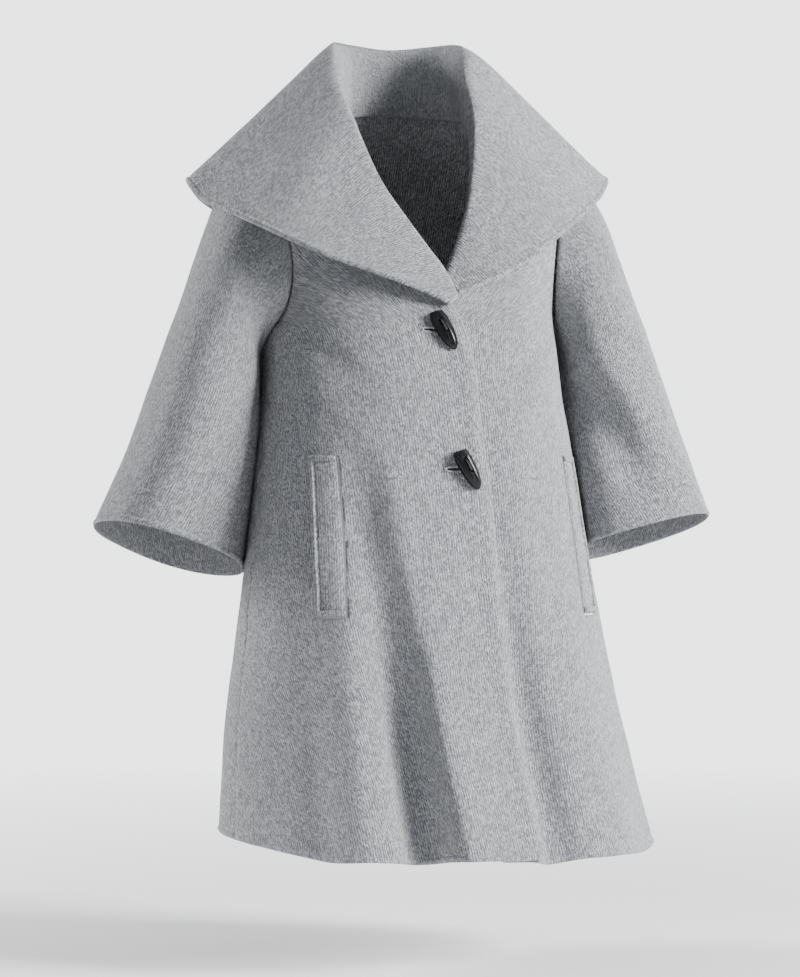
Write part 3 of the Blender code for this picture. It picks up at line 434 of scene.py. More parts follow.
def bezier(p0, p1, p2, p3, u):
    """Points of a cubic Bezier curve at the parameters u."""
    u = np.asarray(u, float)[:, None]
    p0, p1, p2, p3 = (np.asarray(p, float) for p in (p0, p1, p2, p3))
    return (1 - u) ** 3 * p0 + 3 * u * (1 - u) ** 2 * p1 + 3 * u * u * (1 - u) * p2 + u**3 * p3


def armhole(angle, depth):
    """A point of the armhole edge: 0 degrees is the shoulder tip and 180 the underarm."""
    turn = math.radians(angle)
    down = (1 - math.cos(turn)) / 2
    tip, low = np.array(SHOULDER_TIP), np.array(UNDERARM)
    point = tip + (low - tip) * down
    bow = ARMHOLE_FRONT_BOW if depth > 0 else ARMHOLE_BACK_BOW
    point[0] = tip[0] + (low[0] - tip[0]) * math.sin(down * math.pi / 2) - bow * math.sin(turn)
    point[1] -= depth * math.sin(turn)
    return point


def body_value(name, heights):
    """A column of the body table at the given heights."""
    rising = column(BODY, BODY_COLUMNS, "height")[::-1]
    return spline(rising, column(BODY, BODY_COLUMNS, name)[::-1], heights)


def low_row(index, depth_name, facing, places):
    """A quarter of a body section, from the centre line (0) to the side seam (1).

    Places below 0 pass the centre line and mirror the curve. facing is -1 for the front.
    """
    row = dict(zip(BODY_COLUMNS, BODY[index]))
    side_y = (row["back"] - row["front"]) / 2
    centre_y = facing * row[depth_name]
    reach = centre_y - side_y
    a = row["half_width"]
    points = bezier(
        (0, centre_y, 0),
        (QUARTER * a, centre_y, 0),
        (a, side_y + QUARTER * reach, 0),
        (a, side_y, 0),
        np.abs(places),
    )
    points[:, 0] *= np.where(places < 0, -1, 1)
    points[:, 2] = row["height"]
    return points


def high_row(start, end, facing, turn, places):
    """A row above the underarm, from the neckline or centre back to the armhole."""
    start, end = np.array(start, float), np.array(end, float)
    length = np.linalg.norm((end - start)[:2])
    angle = math.radians(turn)
    leave = np.array((ROW_LEAVES_STRAIGHT * length, 0, 0))
    arrive = np.array((math.cos(angle), -facing * math.sin(angle), 0))
    arrive = arrive * ROW_ARRIVES_STRAIGHT * length
    points = bezier(start, start + leave, end - arrive, end, places)
    points[:, 2] = start[2] + (end[2] - start[2]) * places
    return points


def between_rows(stations, split, neck_end=None):
    """Rows between stations, of which the first few, up to split, are above the underarm.

    neck_end is the station where the neckline ends; one row falls on it.

    Below the underarm the side edge depends on the low stations only, so that the front and
    the back share it.
    """
    stations = np.array(stations)
    low_heights = stations[split:, 0, 2]
    top = np.linalg.norm(np.diff(stations[: split + 1, stations.shape[1] // 2], axis=0), axis=1)
    distance = np.concatenate([[0], np.cumsum(top)])
    distance = np.concatenate([distance, distance[-1] + low_heights[0] - low_heights[1:]])
    high = np.linspace(0, distance[split], ROWS_ABOVE_UNDERARM + 1)
    if neck_end is not None:
        high = np.linspace(0, distance[neck_end], ROWS_ABOVE_UNDERARM)
        high = np.append(high, distance[split])
    low = np.linspace(distance[split], distance[-1], ROWS_BELOW_UNDERARM + 1)[1:]
    rows = spline(distance, stations, np.concatenate([high, low]))
    edge = spline(distance[split:], stations[split:, -1], low)
    share = np.linspace(0, 1, stations.shape[1]) ** 3
    rows[len(high):] += (edge - rows[len(high):, -1])[:, None] * share[None, :, None]
    return rows


def front_rows():
    """The middle surface of the left front, before twist and folds."""
    seam = NECKLINE[SHOULDER_POINT:]
    share = np.linspace(0, 1, FRONT_COLUMNS + 1)
    stations = [
        high_row(start, armhole(angle, ARMHOLE_FRONT_DEPTH), -1, turn, share)
        for start, (angle, turn) in zip(seam, FRONT_ROWS)
    ]
    for index in range(len(BODY)):
        half_width = BODY[index][BODY_COLUMNS.index("half_width")]
        stand = HALF_STAND_AT_UNDERARM if index == 0 else HALF_STAND
        past = stand / (3 * QUARTER * half_width)
        places = -past + share * (1 + past)
        stations.append(low_row(index, "front", -1, places))
    return between_rows(stations, len(FRONT_ROWS), neck_end=len(FRONT_ROWS) - 1)


def back_rows():
    """The middle surface of the left half of the back, before twist and folds."""
    share = np.linspace(0, 1, BACK_HALF_COLUMNS + 1)
    curve = NECKLINE[: SHOULDER_POINT + 1]
    neck = spline(np.arange(len(curve)), curve, np.linspace(0, SHOULDER_POINT, NECK_COLUMNS + 1))
    shoulder_share = np.linspace(0, 1, BACK_HALF_COLUMNS - NECK_COLUMNS + 1)
    shoulder = high_row(curve[-1], SHOULDER_TIP, -1, SHOULDER_SEAM_TURN, shoulder_share)
    stations = [np.concatenate([neck, shoulder[1:]])]
    for depth, height, angle, turn in BACK_ROWS:
        end = armhole(angle, -ARMHOLE_BACK_DEPTH)
        stations.append(high_row((0, depth, height), end, 1, turn, share))
    for index in range(len(BODY)):
        stations.append(low_row(index, "back", 1, share))
    return between_rows(stations, len(BACK_ROWS) + 1)


def grid_normals(points, facing_out):
    """Unit normals of a grid, turned to point away from the body's axis where facing_out says."""
    along = np.gradient(points, axis=0)
    across = np.gradient(points, axis=1)
    normals = unit(np.cross(across, along))
    middle = points.shape[0] // 2, points.shape[1] // 2
    sign = np.sign(np.dot(normals[middle], facing_out))
    return normals * sign


def angle_round(points):
    """The angle of each point round the body, before its turn: 0 is the front, in degrees."""
    height = points[..., 2]
    side_y = (body_value("back", height.ravel()) - body_value("front", height.ravel())) / 2
    side_y = side_y.reshape(height.shape)
    return np.degrees(np.arctan2(points[..., 0], -(points[..., 1] - side_y)))


def fold_height(points):
    """How far the folds move each point of the body out or in."""
    hem = BODY[-1][0]
    height = points[..., 2]
    angle = angle_round(points)
    moved = np.zeros_like(height)
    for fold in FOLDS:
        row = dict(zip(FOLD_COLUMNS, fold))
        apart = (angle - row["angle"] + 180) % 360 - 180
        width = np.where(apart < 0, row["right_width"], row["left_width"])
        grown = smoothstep(0, 1, (row["start"] - height) / (row["start"] - hem))
        moved += row["depth"] * grown * band(apart, 0.0, width)
    return moved


def twist_at(heights):
    """The turn of the body at the given heights, in radians."""
    rising = column(TWIST, TWIST_COLUMNS, "height")[::-1]
    return np.radians(spline(rising, column(TWIST, TWIST_COLUMNS, "turn")[::-1], heights))


def twisted(points):
    """The points with the body's turn, its sway and the uneven hem."""
    height = points[..., 2]
    angle = twist_at(height.ravel()).reshape(height.shape)
    c, s = np.cos(angle), np.sin(angle)
    x, y = points[..., 0], points[..., 1]
    sway = body_value("sway", height.ravel()).reshape(height.shape)
    hem_height = BODY[-1][0]
    low = smoothstep(0, 1, (HEM_LIFT_START - height) / (HEM_LIFT_START - hem_height))
    hem_angles = column(HEM, HEM_COLUMNS, "angle")
    lift = np.interp(angle_round(points), hem_angles, column(HEM, HEM_COLUMNS, "lift")) * low
    return np.stack([x * c - y * s + sway, x * s + y * c, height + lift], axis=-1)


def underlap(points):
    """How far the left front sinks under the right one near the centre line."""
    near = 1 - smoothstep(HALF_STAND, HALF_STAND + UNDERLAP_FADE, points[..., 0])
    high = smoothstep(*UNDERLAP_TO_COLLAR, points[..., 2])
    depth = UNDERLAP_DEPTH + (UNDERLAP_DEPTH_AT_COLLAR - UNDERLAP_DEPTH) * high
    return depth * near


def mirrored(points):
    """The same grid on the other side of the centre plane."""
    return points * np.array((-1.0, 1.0, 1.0))


def share_seam_normals(normals):
    """Gives the two sides of each side and shoulder seam the same normals, so that walls meet."""
    first = ROWS_ABOVE_UNDERARM
    for side, at in (("left", -1), ("right", 0)):
        both = unit(normals[side][first:, -1] + normals["back"][first:, at])
        normals[side][first:, -1] = both
        normals["back"][first:, at] = both
    shoulder_points = BACK_HALF_COLUMNS - NECK_COLUMNS + 1
    samples = np.linspace(0, 1, shoulder_points)
    steps = np.linspace(0, 1, FRONT_COLUMNS + 1)
    for side in ("left", "right"):
        back = normals["back"][0] if side == "left" else normals["back"][0][::-1]
        seam = back[-shoulder_points:]
        front = normals[side][0]
        at_back = unit(seam + spline(steps, front, samples))
        normals[side][0] = unit(spline(samples, at_back, steps))
        seam[:] = at_back


def body_grids():
    """Middle surfaces and normals of the right front, left front and back."""
    front = front_rows()
    half_back = back_rows()
    back = np.concatenate([mirrored(half_back[:, :0:-1]), half_back], axis=1)
    grids = {"right": mirrored(front), "left": front, "back": back}
    facing = {"right": (-0.3, -1, 0), "left": (0.3, -1, 0), "back": (0, 1, 0)}
    normals = {name: grid_normals(grid, facing[name]) for name, grid in grids.items()}
    share_seam_normals(normals)
    for name, grid in grids.items():
        moved = fold_height(grid)
        if name == "left":
            moved = moved - underlap(grid)
        grids[name] = twisted(grid + normals[name] * moved[..., None])
    normals = {name: grid_normals(grid, facing[name]) for name, grid in grids.items()}
    share_seam_normals(normals)
    return grids, normals


def distances(grid, axis):
    """How far each point lies along its row (axis 1) or down its column (axis 0), in metres."""
    steps = np.linalg.norm(np.diff(grid, axis=axis), axis=-1)
    start = np.zeros_like(np.take(steps, [0], axis=axis))
    return np.concatenate([start, np.cumsum(steps, axis=axis)], axis=axis)


# The fine steps of the cloth, and the closer ones beside a shaped edge
CLOTH_STEP = 0.0046
EDGE_PLACES = np.array((0.0005, 0.0013, 0.0028, 0.0046, 0.0058, 0.0066, 0.0074, 0.0086, 0.0108))


def fine_places(lengths, first_edge, last_edge):
    """Places along a line of steps: evenly spaced, and closer together at shaped edges."""
    total = lengths[-1]
    even = np.linspace(0, total, max(4, int(round(total / CLOTH_STEP))) + 1)
    past_edge = EDGE_PLACES[-1] + 0.001
    made = [even]
    if first_edge:
        made = [even[(even == 0) | (even > past_edge)], EDGE_PLACES]
    if last_edge:
        made = [m[(m == total) | (m < total - past_edge)] for m in made]
        made.append(total - EDGE_PLACES)
    places = np.sort(np.concatenate(made))
    return np.interp(places, lengths, np.arange(len(lengths)))


def refined(grid, rows, columns):
    """A grid read smoothly at finer places."""
    made = spline(np.arange(grid.shape[0]), grid, rows)
    return spline(np.arange(grid.shape[1]), made.swapaxes(0, 1), columns).swapaxes(0, 1)


def creased(points, normals, creases):
    """The points moved along their normals by soft creases."""
    moved = np.zeros(points.shape[:2])
    seen = points[..., (0, 2)]
    for crease in creases:
        row = dict(zip(CREASE_COLUMNS, crease))
        start, end = np.array((row["x0"], row["z0"])), np.array((row["x1"], row["z1"]))
        along = end - start
        place = np.clip(np.sum((seen - start) * along, axis=-1) / np.dot(along, along), 0, 1)
        apart = np.linalg.norm(seen - start - place[..., None] * along, axis=-1)
        faces_us = smoothstep(0.0, 0.35, row["facing"] * normals[..., 1])
        strength = np.sin(math.pi * np.clip(place * 0.92 + 0.04, 0, 1)) * faces_us
        moved += row["depth"] * strength * band(apart, 0.0, row["width"])
    return points + normals * moved[..., None]


# Unevenness of the hanging cloth: waves per metre
WAVES = 14.0
FINE_WAVES = 31.0


def uneven(points, normals, amount, seed):
    """The points moved by a slow unevenness, as thick cloth never hangs quite smooth."""
    moved = np.empty(points.shape[:2])
    for i, row in enumerate(points):
        for j, point in enumerate(row):
            place = Vector(point) + Vector((seed, 0, 0))
            moved[i, j] = noise.noise(place * WAVES) + 0.5 * noise.noise(place * FINE_WAVES)
    return points + normals * (moved * amount)[..., None]


# A shaped edge of the cloth is rounded, puffed up and has a sewn line beside it. A plain one is
# only rounded, and hidden in a seam
SHAPED_EDGE = 0.0036
PLAIN_EDGE = CLOTH * 0.52
RIM_SHARE = 0.30
SEWN_LINE = 0.0066
SEWN_WIDTH = 0.0010
SEWN_DEPTH = 0.0006
PUFF_HEIGHT = 0.0010
PUFF_RISES = (0.0, 0.0026)
PUFF_FALLS = (0.0074, 0.0044)
RIM_BULGE = 0.0004


def shell(name, points, normals, half, edges, straight=(0, 0), dip=0.0, closed=False, weave="along"):
    """A thin closed shell about a middle surface, with a flat map in metres.

    half is the half thickness, one number or one for each point. edges has the shaped borders out
    of "first_row", "last_row", "first_column" and "last_column": each is rounded, and has a sewn
    line a few millimetres in. straight is the row and the column that the flat map starts from.
    dip sinks the middle of the border, as between two sewn layers. The weave runs "along" the
    columns, "across" them from row to row, or "upright" as on a hanging panel.
    """
    rows, columns = points.shape[:2]
    down = distances(points, 0)
    if closed:
        wrapped = np.concatenate([points, points[:, :1]], axis=1)
        along = distances(wrapped, 1)
        down = np.concatenate([down, down[:, :1]], axis=1)
    else:
        along = distances(points, 1)
    from_border = {
        "first_row": down[:, :columns],
        "last_row": (down[-1:] - down)[:, :columns],
        "first_column": along[:, :columns],
        "last_column": (along[:, -1:] - along)[:, :columns],
    }
    flat_down = down - down[straight[0]]
    flat_along = along - along[:, straight[1]][:, None]
    if weave == "upright":
        flat_along = distances(points[..., :2], 1)
        flat_along, flat_down = flat_along - flat_along[:, straight[1]][:, None], -points[..., 2]
    if weave == "across":
        spread = flat_down[:, columns // 2][:, None] + np.zeros_like(flat_down)
        flat_along, flat_down = spread, flat_along
    thick = np.full((rows, columns), 1.0) * half
    swell = np.zeros((rows, columns))
    for border, apart in from_border.items():
        if closed and "column" in border:
            continue
        shaped = border in edges
        inside = 1 - np.clip(apart / (SHAPED_EDGE if shaped else PLAIN_EDGE), 0, 1)
        thick *= RIM_SHARE + (1 - RIM_SHARE) * np.sqrt(1 - inside**2)
        if shaped:
            sewn = SEWN_DEPTH * band(apart, SEWN_LINE, SEWN_WIDTH)
            puffed = smoothstep(*PUFF_FALLS, apart) * smoothstep(*PUFF_RISES, apart)
            swell = np.maximum(swell, PUFF_HEIGHT * puffed) - sewn
    outer = points + normals * (thick + swell)[..., None]
    inner = points - normals * (thick + np.minimum(swell, 0) * 0.5)[..., None]
    if closed:
        rings = [[(0, j) for j in range(columns)] + [(0, 0)]]
        rings.append([(rows - 1, j) for j in range(columns)][::-1] + [(rows - 1, columns - 1)])
    else:
        ring = [(0, j) for j in range(columns - 1)]
        ring += [(i, columns - 1) for i in range(rows - 1)]
        ring += [(rows - 1, j) for j in range(columns - 1, 0, -1)]
        ring += [(i, 0) for i in range(rows - 1, 0, -1)]
        rings = [ring + ring[:1]]
    border_points, border_faces, border_maps = [], [], []
    size = rows * columns
    for ring in rings:
        first = 2 * size + len(border_points)
        for i, j in ring[:-1]:
            if i in (0, rows - 1):
                inward = unit(points[1 if i == 0 else rows - 2, j] - points[i, j])
            else:
                inward = unit(points[i, 1 if j == 0 else columns - 2] - points[i, j])
            border_points.append(points[i, j] + inward * (dip if dip else -RIM_BULGE))
        count = len(ring) - 1
        for k, (a, b) in enumerate(zip(ring, ring[1:])):
            here, there = first + k, first + (k + 1) % count
            top_a, top_b = a[0] * columns + a[1], b[0] * columns + b[1]
            place_a, place_b = (flat_along[a], flat_down[a]), (flat_along[b], flat_down[b])
            border_faces.append((top_a, top_b, there, here))
            border_faces.append((here, there, size + top_b, size + top_a))
            border_maps.append((place_a, place_b, place_b, place_a))
            border_maps.append((place_a, place_b, place_b, place_a))
    i, j = np.meshgrid(np.arange(rows - 1), np.arange(columns if closed else columns - 1), indexing="ij")
    i, j = i.ravel(), j.ravel()
    corner_rows = np.stack([i, i + 1, i + 1, i], axis=1)
    corner_columns = np.stack([j, j, j + 1, j + 1], axis=1)
    outside = corner_rows * columns + corner_columns % columns
    faces = np.concatenate([outside, size + outside[:, ::-1], np.array(border_faces)])
    places = np.stack([flat[corner_rows, corner_columns] for flat in (flat_along, flat_down)], axis=2)
    maps = np.concatenate([places, places[:, ::-1], np.array(border_maps)])
    vertices = np.concatenate([outer.reshape(-1, 3), inner.reshape(-1, 3), np.array(border_points)])
    a, b, c, _ = vertices[outside].swapaxes(0, 1)
    if np.sum(np.cross(b - a, c - a) * normals[i, j]) < 0:
        faces, maps = faces[:, ::-1], maps[:, ::-1]
    mesh = bpy.data.meshes.new(name)
    mesh.from_pydata(vertices.tolist(), [], faces.tolist())
    mesh.uv_layers.new(name="cloth").data.foreach_set("uv", maps.reshape(-1).astype(np.float32))
    mesh.shade_smooth()
    return mesh


def add_piece(name, mesh, finish, slot, *nodes):
    """Puts a piece of the coat in the scene, on the coat's one body."""
    mesh.materials.append(finish)
    made = bpy.data.objects.new(name, mesh)
    bpy.context.scene.collection.objects.link(made)
    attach(made, "root")
    if nodes:
        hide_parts(*nodes)
    return made


def fine_panel(grid, normals, edges):
    """The grid and its normals in fine steps, with close ones at the shaped edges."""
    lengths = distances(grid, 1)
    drops = distances(grid, 0)
    columns = fine_places(lengths[len(grid) * 2 // 3], "first_column" in edges, "last_column" in edges)
    rows = fine_places(drops[:, grid.shape[1] // 2], "first_row" in edges, "last_row" in edges)
    return refined(grid, rows, columns), unit(refined(normals, rows, columns))


# The panels bend softly where they pass the underarm
UNDERARM_EASE_AT = -0.205
UNDERARM_EASE_SPAN = 0.055
UNDERARM_EASE_COLUMNS = (2.0, 14.0)
UNDERARM_EASE_PASSES = 60


def eased_underarm(points, normals):
    """The panel without a bend across it at the height of the underarm, away from its borders."""
    columns = points.shape[1]
    from_side = np.minimum(np.arange(columns), columns - 1 - np.arange(columns))
    share = smoothstep(*UNDERARM_EASE_COLUMNS, from_side)
    share = (share * band(points[..., 2], UNDERARM_EASE_AT, UNDERARM_EASE_SPAN))[..., None]
    points = points + (softened(points, UNDERARM_EASE_PASSES) - points) * share
    return points, unit(normals + (softened(normals, UNDERARM_EASE_PASSES) - normals) * share)


# The right side stands out a little beside the sleeve
SIDE_EASE = 0.0040
SIDE_EASE_AT = -0.370
SIDE_EASE_SPAN = 0.140
SIDE_EASE_FROM = (0.09, 0.15)

# The right front's edge stands a little off the left front and rolls down at its border
EDGE_LIFT = 0.0046
EDGE_ROLL_AT = 0.012
EDGE_ROLL_WIDTH = 0.009
EDGE_RISE = 0.0012
EDGE_TURN = 0.0022
EDGE_TURN_WIDTH = 0.006

BODY_UNEVEN = 0.0010

grids, grid_outs = body_grids()
body_pieces, body_surfaces = {}, {}
for name, grid_name, edges, seed in (
    ("front_right", "right", ("last_row", "first_column"), 3.1),
    ("front_left", "left", ("last_row", "first_column"), 7.4),
    ("back", "back", ("last_row",), 11.9),
):
    points, normals = fine_panel(grids[grid_name], grid_outs[grid_name], edges)
    points, normals = eased_underarm(points, normals)
    points = creased(points, normals, BODY_CREASES + (UNDERLAP_CREASES if name == "front_left" else ()))
    points = uneven(points, normals, BODY_UNEVEN, seed)
    beside_sleeve = smoothstep(*SIDE_EASE_FROM, -points[..., 0])
    eased = band(points[..., 2], SIDE_EASE_AT, SIDE_EASE_SPAN) * beside_sleeve
    points = points + normals * (SIDE_EASE * eased)[..., None]
    if name == "front_right":
        from_edge = distances(points, 1)
        lifted = EDGE_LIFT * band(from_edge, EDGE_ROLL_AT, EDGE_ROLL_WIDTH)
        lifted = lifted + EDGE_RISE * smoothstep(EDGE_ROLL_AT, 0.0, from_edge)
        lifted = lifted - EDGE_TURN * smoothstep(EDGE_TURN_WIDTH, 0.0, from_edge)
        points = points + normals * lifted[..., None]
    body_surfaces[grid_name] = points
    straight = (-1, points.shape[1] // 2 if name == "back" else 0)
    mesh = shell(name, points, normals, CLOTH / 2, edges, straight, weave="upright")
    body_pieces[grid_name] = add_piece(name, mesh, wool, "wool", name)


# Sleeves: three-quarter bells, each one panel closed along the underarm and sewn round the
# armhole. They widen to open cuffs and are a little bent, as a worn sleeve is.

# Rings of each sleeve, from the armhole to the cuff: its outer and inner lines seen from the
# front, its middle and half depth, and how far its front edge is higher than its middle
SLEEVE_RINGS = 13
SLEEVE_COLUMNS = ("outer_x", "outer_z", "inner_x", "inner_z", "middle_y", "half_depth", "front_rise")
SLEEVE_RIGHT = (
    (0.188, -0.050, 0.164, -0.238, 0.004, 0.079, 0.000),
    (0.212, -0.092, 0.170, -0.262, -0.002, 0.080, 0.000),
    (0.240, -0.168, 0.170, -0.300, -0.008, 0.080, 0.002),
    (0.274, -0.262, 0.170, -0.358, -0.008, 0.084, 0.006),
    (0.305, -0.350, 0.176, -0.428, -0.004, 0.090, 0.011),
    (0.348, -0.452, 0.184, -0.506, 0.004, 0.099, 0.016),
)
SLEEVE_LEFT = (
    (0.188, -0.050, 0.164, -0.238, 0.004, 0.079, 0.000),
    (0.219, -0.092, 0.172, -0.262, 0.004, 0.080, 0.000),
    (0.248, -0.168, 0.176, -0.298, 0.002, 0.078, 0.003),
    (0.282, -0.262, 0.179, -0.350, 0.000, 0.080, 0.008),
    (0.312, -0.350, 0.183, -0.414, 0.000, 0.085, 0.014),
    (0.3495, -0.450, 0.189, -0.487, 0.004, 0.094, 0.020),
)
SLEEVE_SEAM_LIFT = 0.0036
SLEEVE_UNDERARM_LIFT = 0.0022
SLEEVE_CLEAR_OF_BODY = 0.0060
SLEEVE_UNEVEN = 0.0010

# Folds that grow toward the cuff: the angle round the ring (0 is the outer line, 90 the front),
# the width in degrees, and how far out (+) or in (-)
SLEEVE_FOLDS = (
    (52.0, 20.0, 0.004),
    (100.0, 22.0, -0.005),
    (-60.0, 24.0, -0.005),
    (-110.0, 22.0, 0.004),
)
SLEEVE_CREASES = {
    "right": (
        (-1, -0.178, -0.120, -0.225, -0.190, 0.014, -0.0012),
        (-1, -0.185, -0.225, -0.235, -0.300, 0.018, -0.0016),
        (-1, -0.235, -0.205, -0.262, -0.290, 0.016, 0.0014),
        (-1, -0.200, -0.300, -0.270, -0.380, 0.020, 0.0022),
        (-1, -0.215, -0.380, -0.300, -0.450, 0.020, -0.0016),
        (1, -0.190, -0.200, -0.240, -0.290, 0.016, -0.0040),
        (1, -0.215, -0.280, -0.285, -0.370, 0.018, 0.0036),
        (1, -0.200, -0.370, -0.290, -0.440, 0.020, -0.0034),
    ),
    "left": (
        (-1, 0.190, -0.130, 0.240, -0.200, 0.014, -0.0030),
        (-1, 0.176, -0.285, 0.262, -0.420, 0.025, -0.0125),
        (-1, 0.190, -0.235, 0.280, -0.370, 0.020, 0.0060),
        (-1, 0.200, -0.215, 0.270, -0.250, 0.014, 0.0030),
        (1, 0.190, -0.210, 0.245, -0.295, 0.016, -0.0040),
        (1, 0.215, -0.280, 0.290, -0.360, 0.018, 0.0036),
        (1, 0.200, -0.370, 0.295, -0.435, 0.020, -0.0034),
    ),
}


def tree_of(*grids):
    """A search tree over the faces of open grids, for finding what lies under a point."""
    vertices, faces = [], []
    for grid in grids:
        rows, columns = grid.shape[:2]
        start = len(vertices)
        vertices += [Vector(p) for p in grid.reshape(-1, 3)]
        for i in range(rows - 1):
            for j in range(columns - 1):
                a = start + i * columns + j
                faces.append((a, a + 1, a + columns + 1, a + columns))
    return BVHTree.FromPolygons(vertices, faces)


def lift_needed(point, direction, tree, clearance, reach):
    """How far a point must move along direction to be clearance outside the surface in the tree."""
    direction = Vector(unit(np.asarray(direction, float)))
    start = Vector(point) + direction * reach
    hit, normal, _, distance = tree.ray_cast(start, -direction, 2 * reach)
    if hit is None:
        return 0.0
    slant = max(abs(normal.dot(direction)), 0.5)
    return max(0.0, reach - distance + clearance / slant)


def sleeve_grid(side, grids, normals):
    """The middle surface of one sleeve: ring 0 is laid on the armhole edge."""
    front_edge = grids[side][: ROWS_ABOVE_UNDERARM + 1, -1]
    front_out = normals[side][: ROWS_ABOVE_UNDERARM + 1, -1]
    at = -1 if side == "left" else 0
    back_edge = grids["back"][: ROWS_ABOVE_UNDERARM + 1, at]
    back_out = normals["back"][: ROWS_ABOVE_UNDERARM + 1, at]
    loop = np.concatenate([front_edge, back_edge[-2:0:-1]])
    out = np.concatenate([front_out, back_out[-2:0:-1]])
    if side == "right":
        loop, out = mirrored(loop), mirrored(out)
    # each point keeps its own angle round the ring: 0 outer line, 90 front, 180 inner, 270 back
    half = ROWS_ABOVE_UNDERARM
    angles = np.concatenate([np.linspace(0, 180, half + 1), np.linspace(180, 360, half + 1)[1:-1]])
    turn = np.radians(angles)
    lift = SLEEVE_SEAM_LIFT + SLEEVE_UNDERARM_LIFT * smoothstep(0.5, 0.9, -np.cos(turn))
    first = loop + out * lift[:, None]
    table = SLEEVE_RIGHT if side == "right" else SLEEVE_LEFT
    knots = np.linspace(0, 1, len(table))
    t = np.linspace(0, 1, SLEEVE_RINGS + 1)
    value = {name: spline(knots, column(table, SLEEVE_COLUMNS, name), t) for name in SLEEVE_COLUMNS}
    rings = []
    for k in range(SLEEVE_RINGS + 1):
        outer = np.array((value["outer_x"][k], value["middle_y"][k], value["outer_z"][k]))
        inner = np.array((value["inner_x"][k], value["middle_y"][k], value["inner_z"][k]))
        centre, reach = (outer + inner) / 2, (outer - inner) / 2
        forward = np.array((0, -value["half_depth"][k], value["front_rise"][k]))
        ring = centre + np.outer(np.cos(turn), reach) + np.outer(np.sin(turn), forward)
        swell = sum(
            depth * band((angles - angle + 180) % 360 - 180, 0.0, width)
            for angle, width, depth in SLEEVE_FOLDS
        )
        ring += unit(ring - centre) * (swell * t[k] ** 1.5)[:, None]
        rings.append(ring)
    rings = np.array(rings)
    # the first rings ease from the armhole's own shape to the round ones
    carry = 1 - smoothstep(0.0, 0.30, t)
    rings = rings + (first - rings[0])[None] * carry[:, None, None]
    return rings


def settled_sleeve(rings, side, tree):
    """The sleeve moved just clear of the body where it hangs against the side."""
    sign = 1.0 if side == "left" else -1.0
    rings = rings * np.array((sign, 1, 1))
    for k in range(1, len(rings)):
        for j in range(rings.shape[1]):
            point = rings[k, j]
            if point[2] > UNDERARM[2] + 0.030:
                continue
            way = (sign, 0, 0)
            rings[k, j, 0] += sign * lift_needed(point, way, tree, SLEEVE_CLEAR_OF_BODY, 0.25)
    return rings


def tube_normals(rings):
    """Unit normals of a tube of rings, pointing out of the tube."""
    along = np.gradient(rings, axis=0)
    across = np.roll(rings, -1, axis=1) - np.roll(rings, 1, axis=1)
    normals = unit(np.cross(across, along))
    centre = rings.mean(axis=1, keepdims=True)
    return normals * np.sign(np.sum(normals * (rings - centre), axis=-1).mean())


def fine_tube(rings, normals):
    """A tube of rings in fine steps. It wraps round, so its ends are read past the join."""
    count = rings.shape[1]
    around = distances(np.concatenate([rings, rings[:, :1]], axis=1), 1)[len(rings) // 2, -1]
    columns = np.linspace(0, count, int(round(around / CLOTH_STEP)) + 1)[:-1] + 3
    rows = fine_places(distances(rings, 0)[:, 0], False, True)
    wide = [np.concatenate([grid[:, -3:], grid, grid[:, :4]], axis=1) for grid in (rings, normals)]
    return refined(wide[0], rows, columns), unit(refined(wide[1], rows, columns))


coarse_body = tree_of(grids["right"], grids["left"], grids["back"])
coarse_sleeves = {}
for side, seed in (("right", 17.3), ("left", 23.8)):
    rings = settled_sleeve(sleeve_grid(side, grids, grid_outs), side, coarse_body)
    coarse_sleeves[side] = np.concatenate([rings, rings[:, :1]], axis=1)
    points, normals = fine_tube(rings, tube_normals(rings))
    points = creased(points, normals, SLEEVE_CREASES[side])
    points = uneven(points, normals, SLEEVE_UNEVEN, seed)
    name = "sleeve_" + side
    mesh = shell(name, points, normals, CLOTH / 2, ("last_row",), (-1, 0), closed=True)
    sleeve = add_piece(name, mesh, wool, "wool", name)


# Collar: a wide shawl collar that stands round the neck, rolls over and falls on the shoulders.
# Two layers of the wool are sewn edge to edge, turned and stitched a few millimetres in.

COLLAR_CLOTH = 0.0046
COLLAR_STAND_SHARES = (0.0, 0.25, 0.62, 1.0)
COLLAR_FALL_STEPS = 8
# A row for each neckline row: the roll is the top of the turn, the edge is the free outer edge
COLLAR_COLUMNS = ("roll", "edge", "turn")
COLLAR_RIGHT = (
    ((0.000, 0.086, 0.086), (0.000, 0.168, -0.120), 0.015),
    ((-0.050, 0.066, 0.088), (-0.125, 0.152, -0.116), 0.014),
    ((-0.075, 0.030, 0.086), (-0.206, 0.102, -0.094), 0.013),
    ((-0.083, -0.004, 0.074), (-0.242, 0.038, -0.070), 0.013),
    ((-0.086, -0.033, 0.042), (-0.2275, -0.020, -0.101), 0.012),
    ((-0.077, -0.062, 0.000), (-0.191, -0.085, -0.123), 0.010),
    ((-0.054, -0.092, -0.066), (-0.155, -0.122, -0.144), 0.009),
    ((-0.020, -0.118, -0.126), (-0.112, -0.143, -0.164), 0.008),
    ((0.0165, -0.1370, -0.180), (-0.040, -0.156, -0.190), 0.008),
    ((0.0266, -0.1425, -0.207), (0.019, -0.150, -0.2135), 0.005),
)
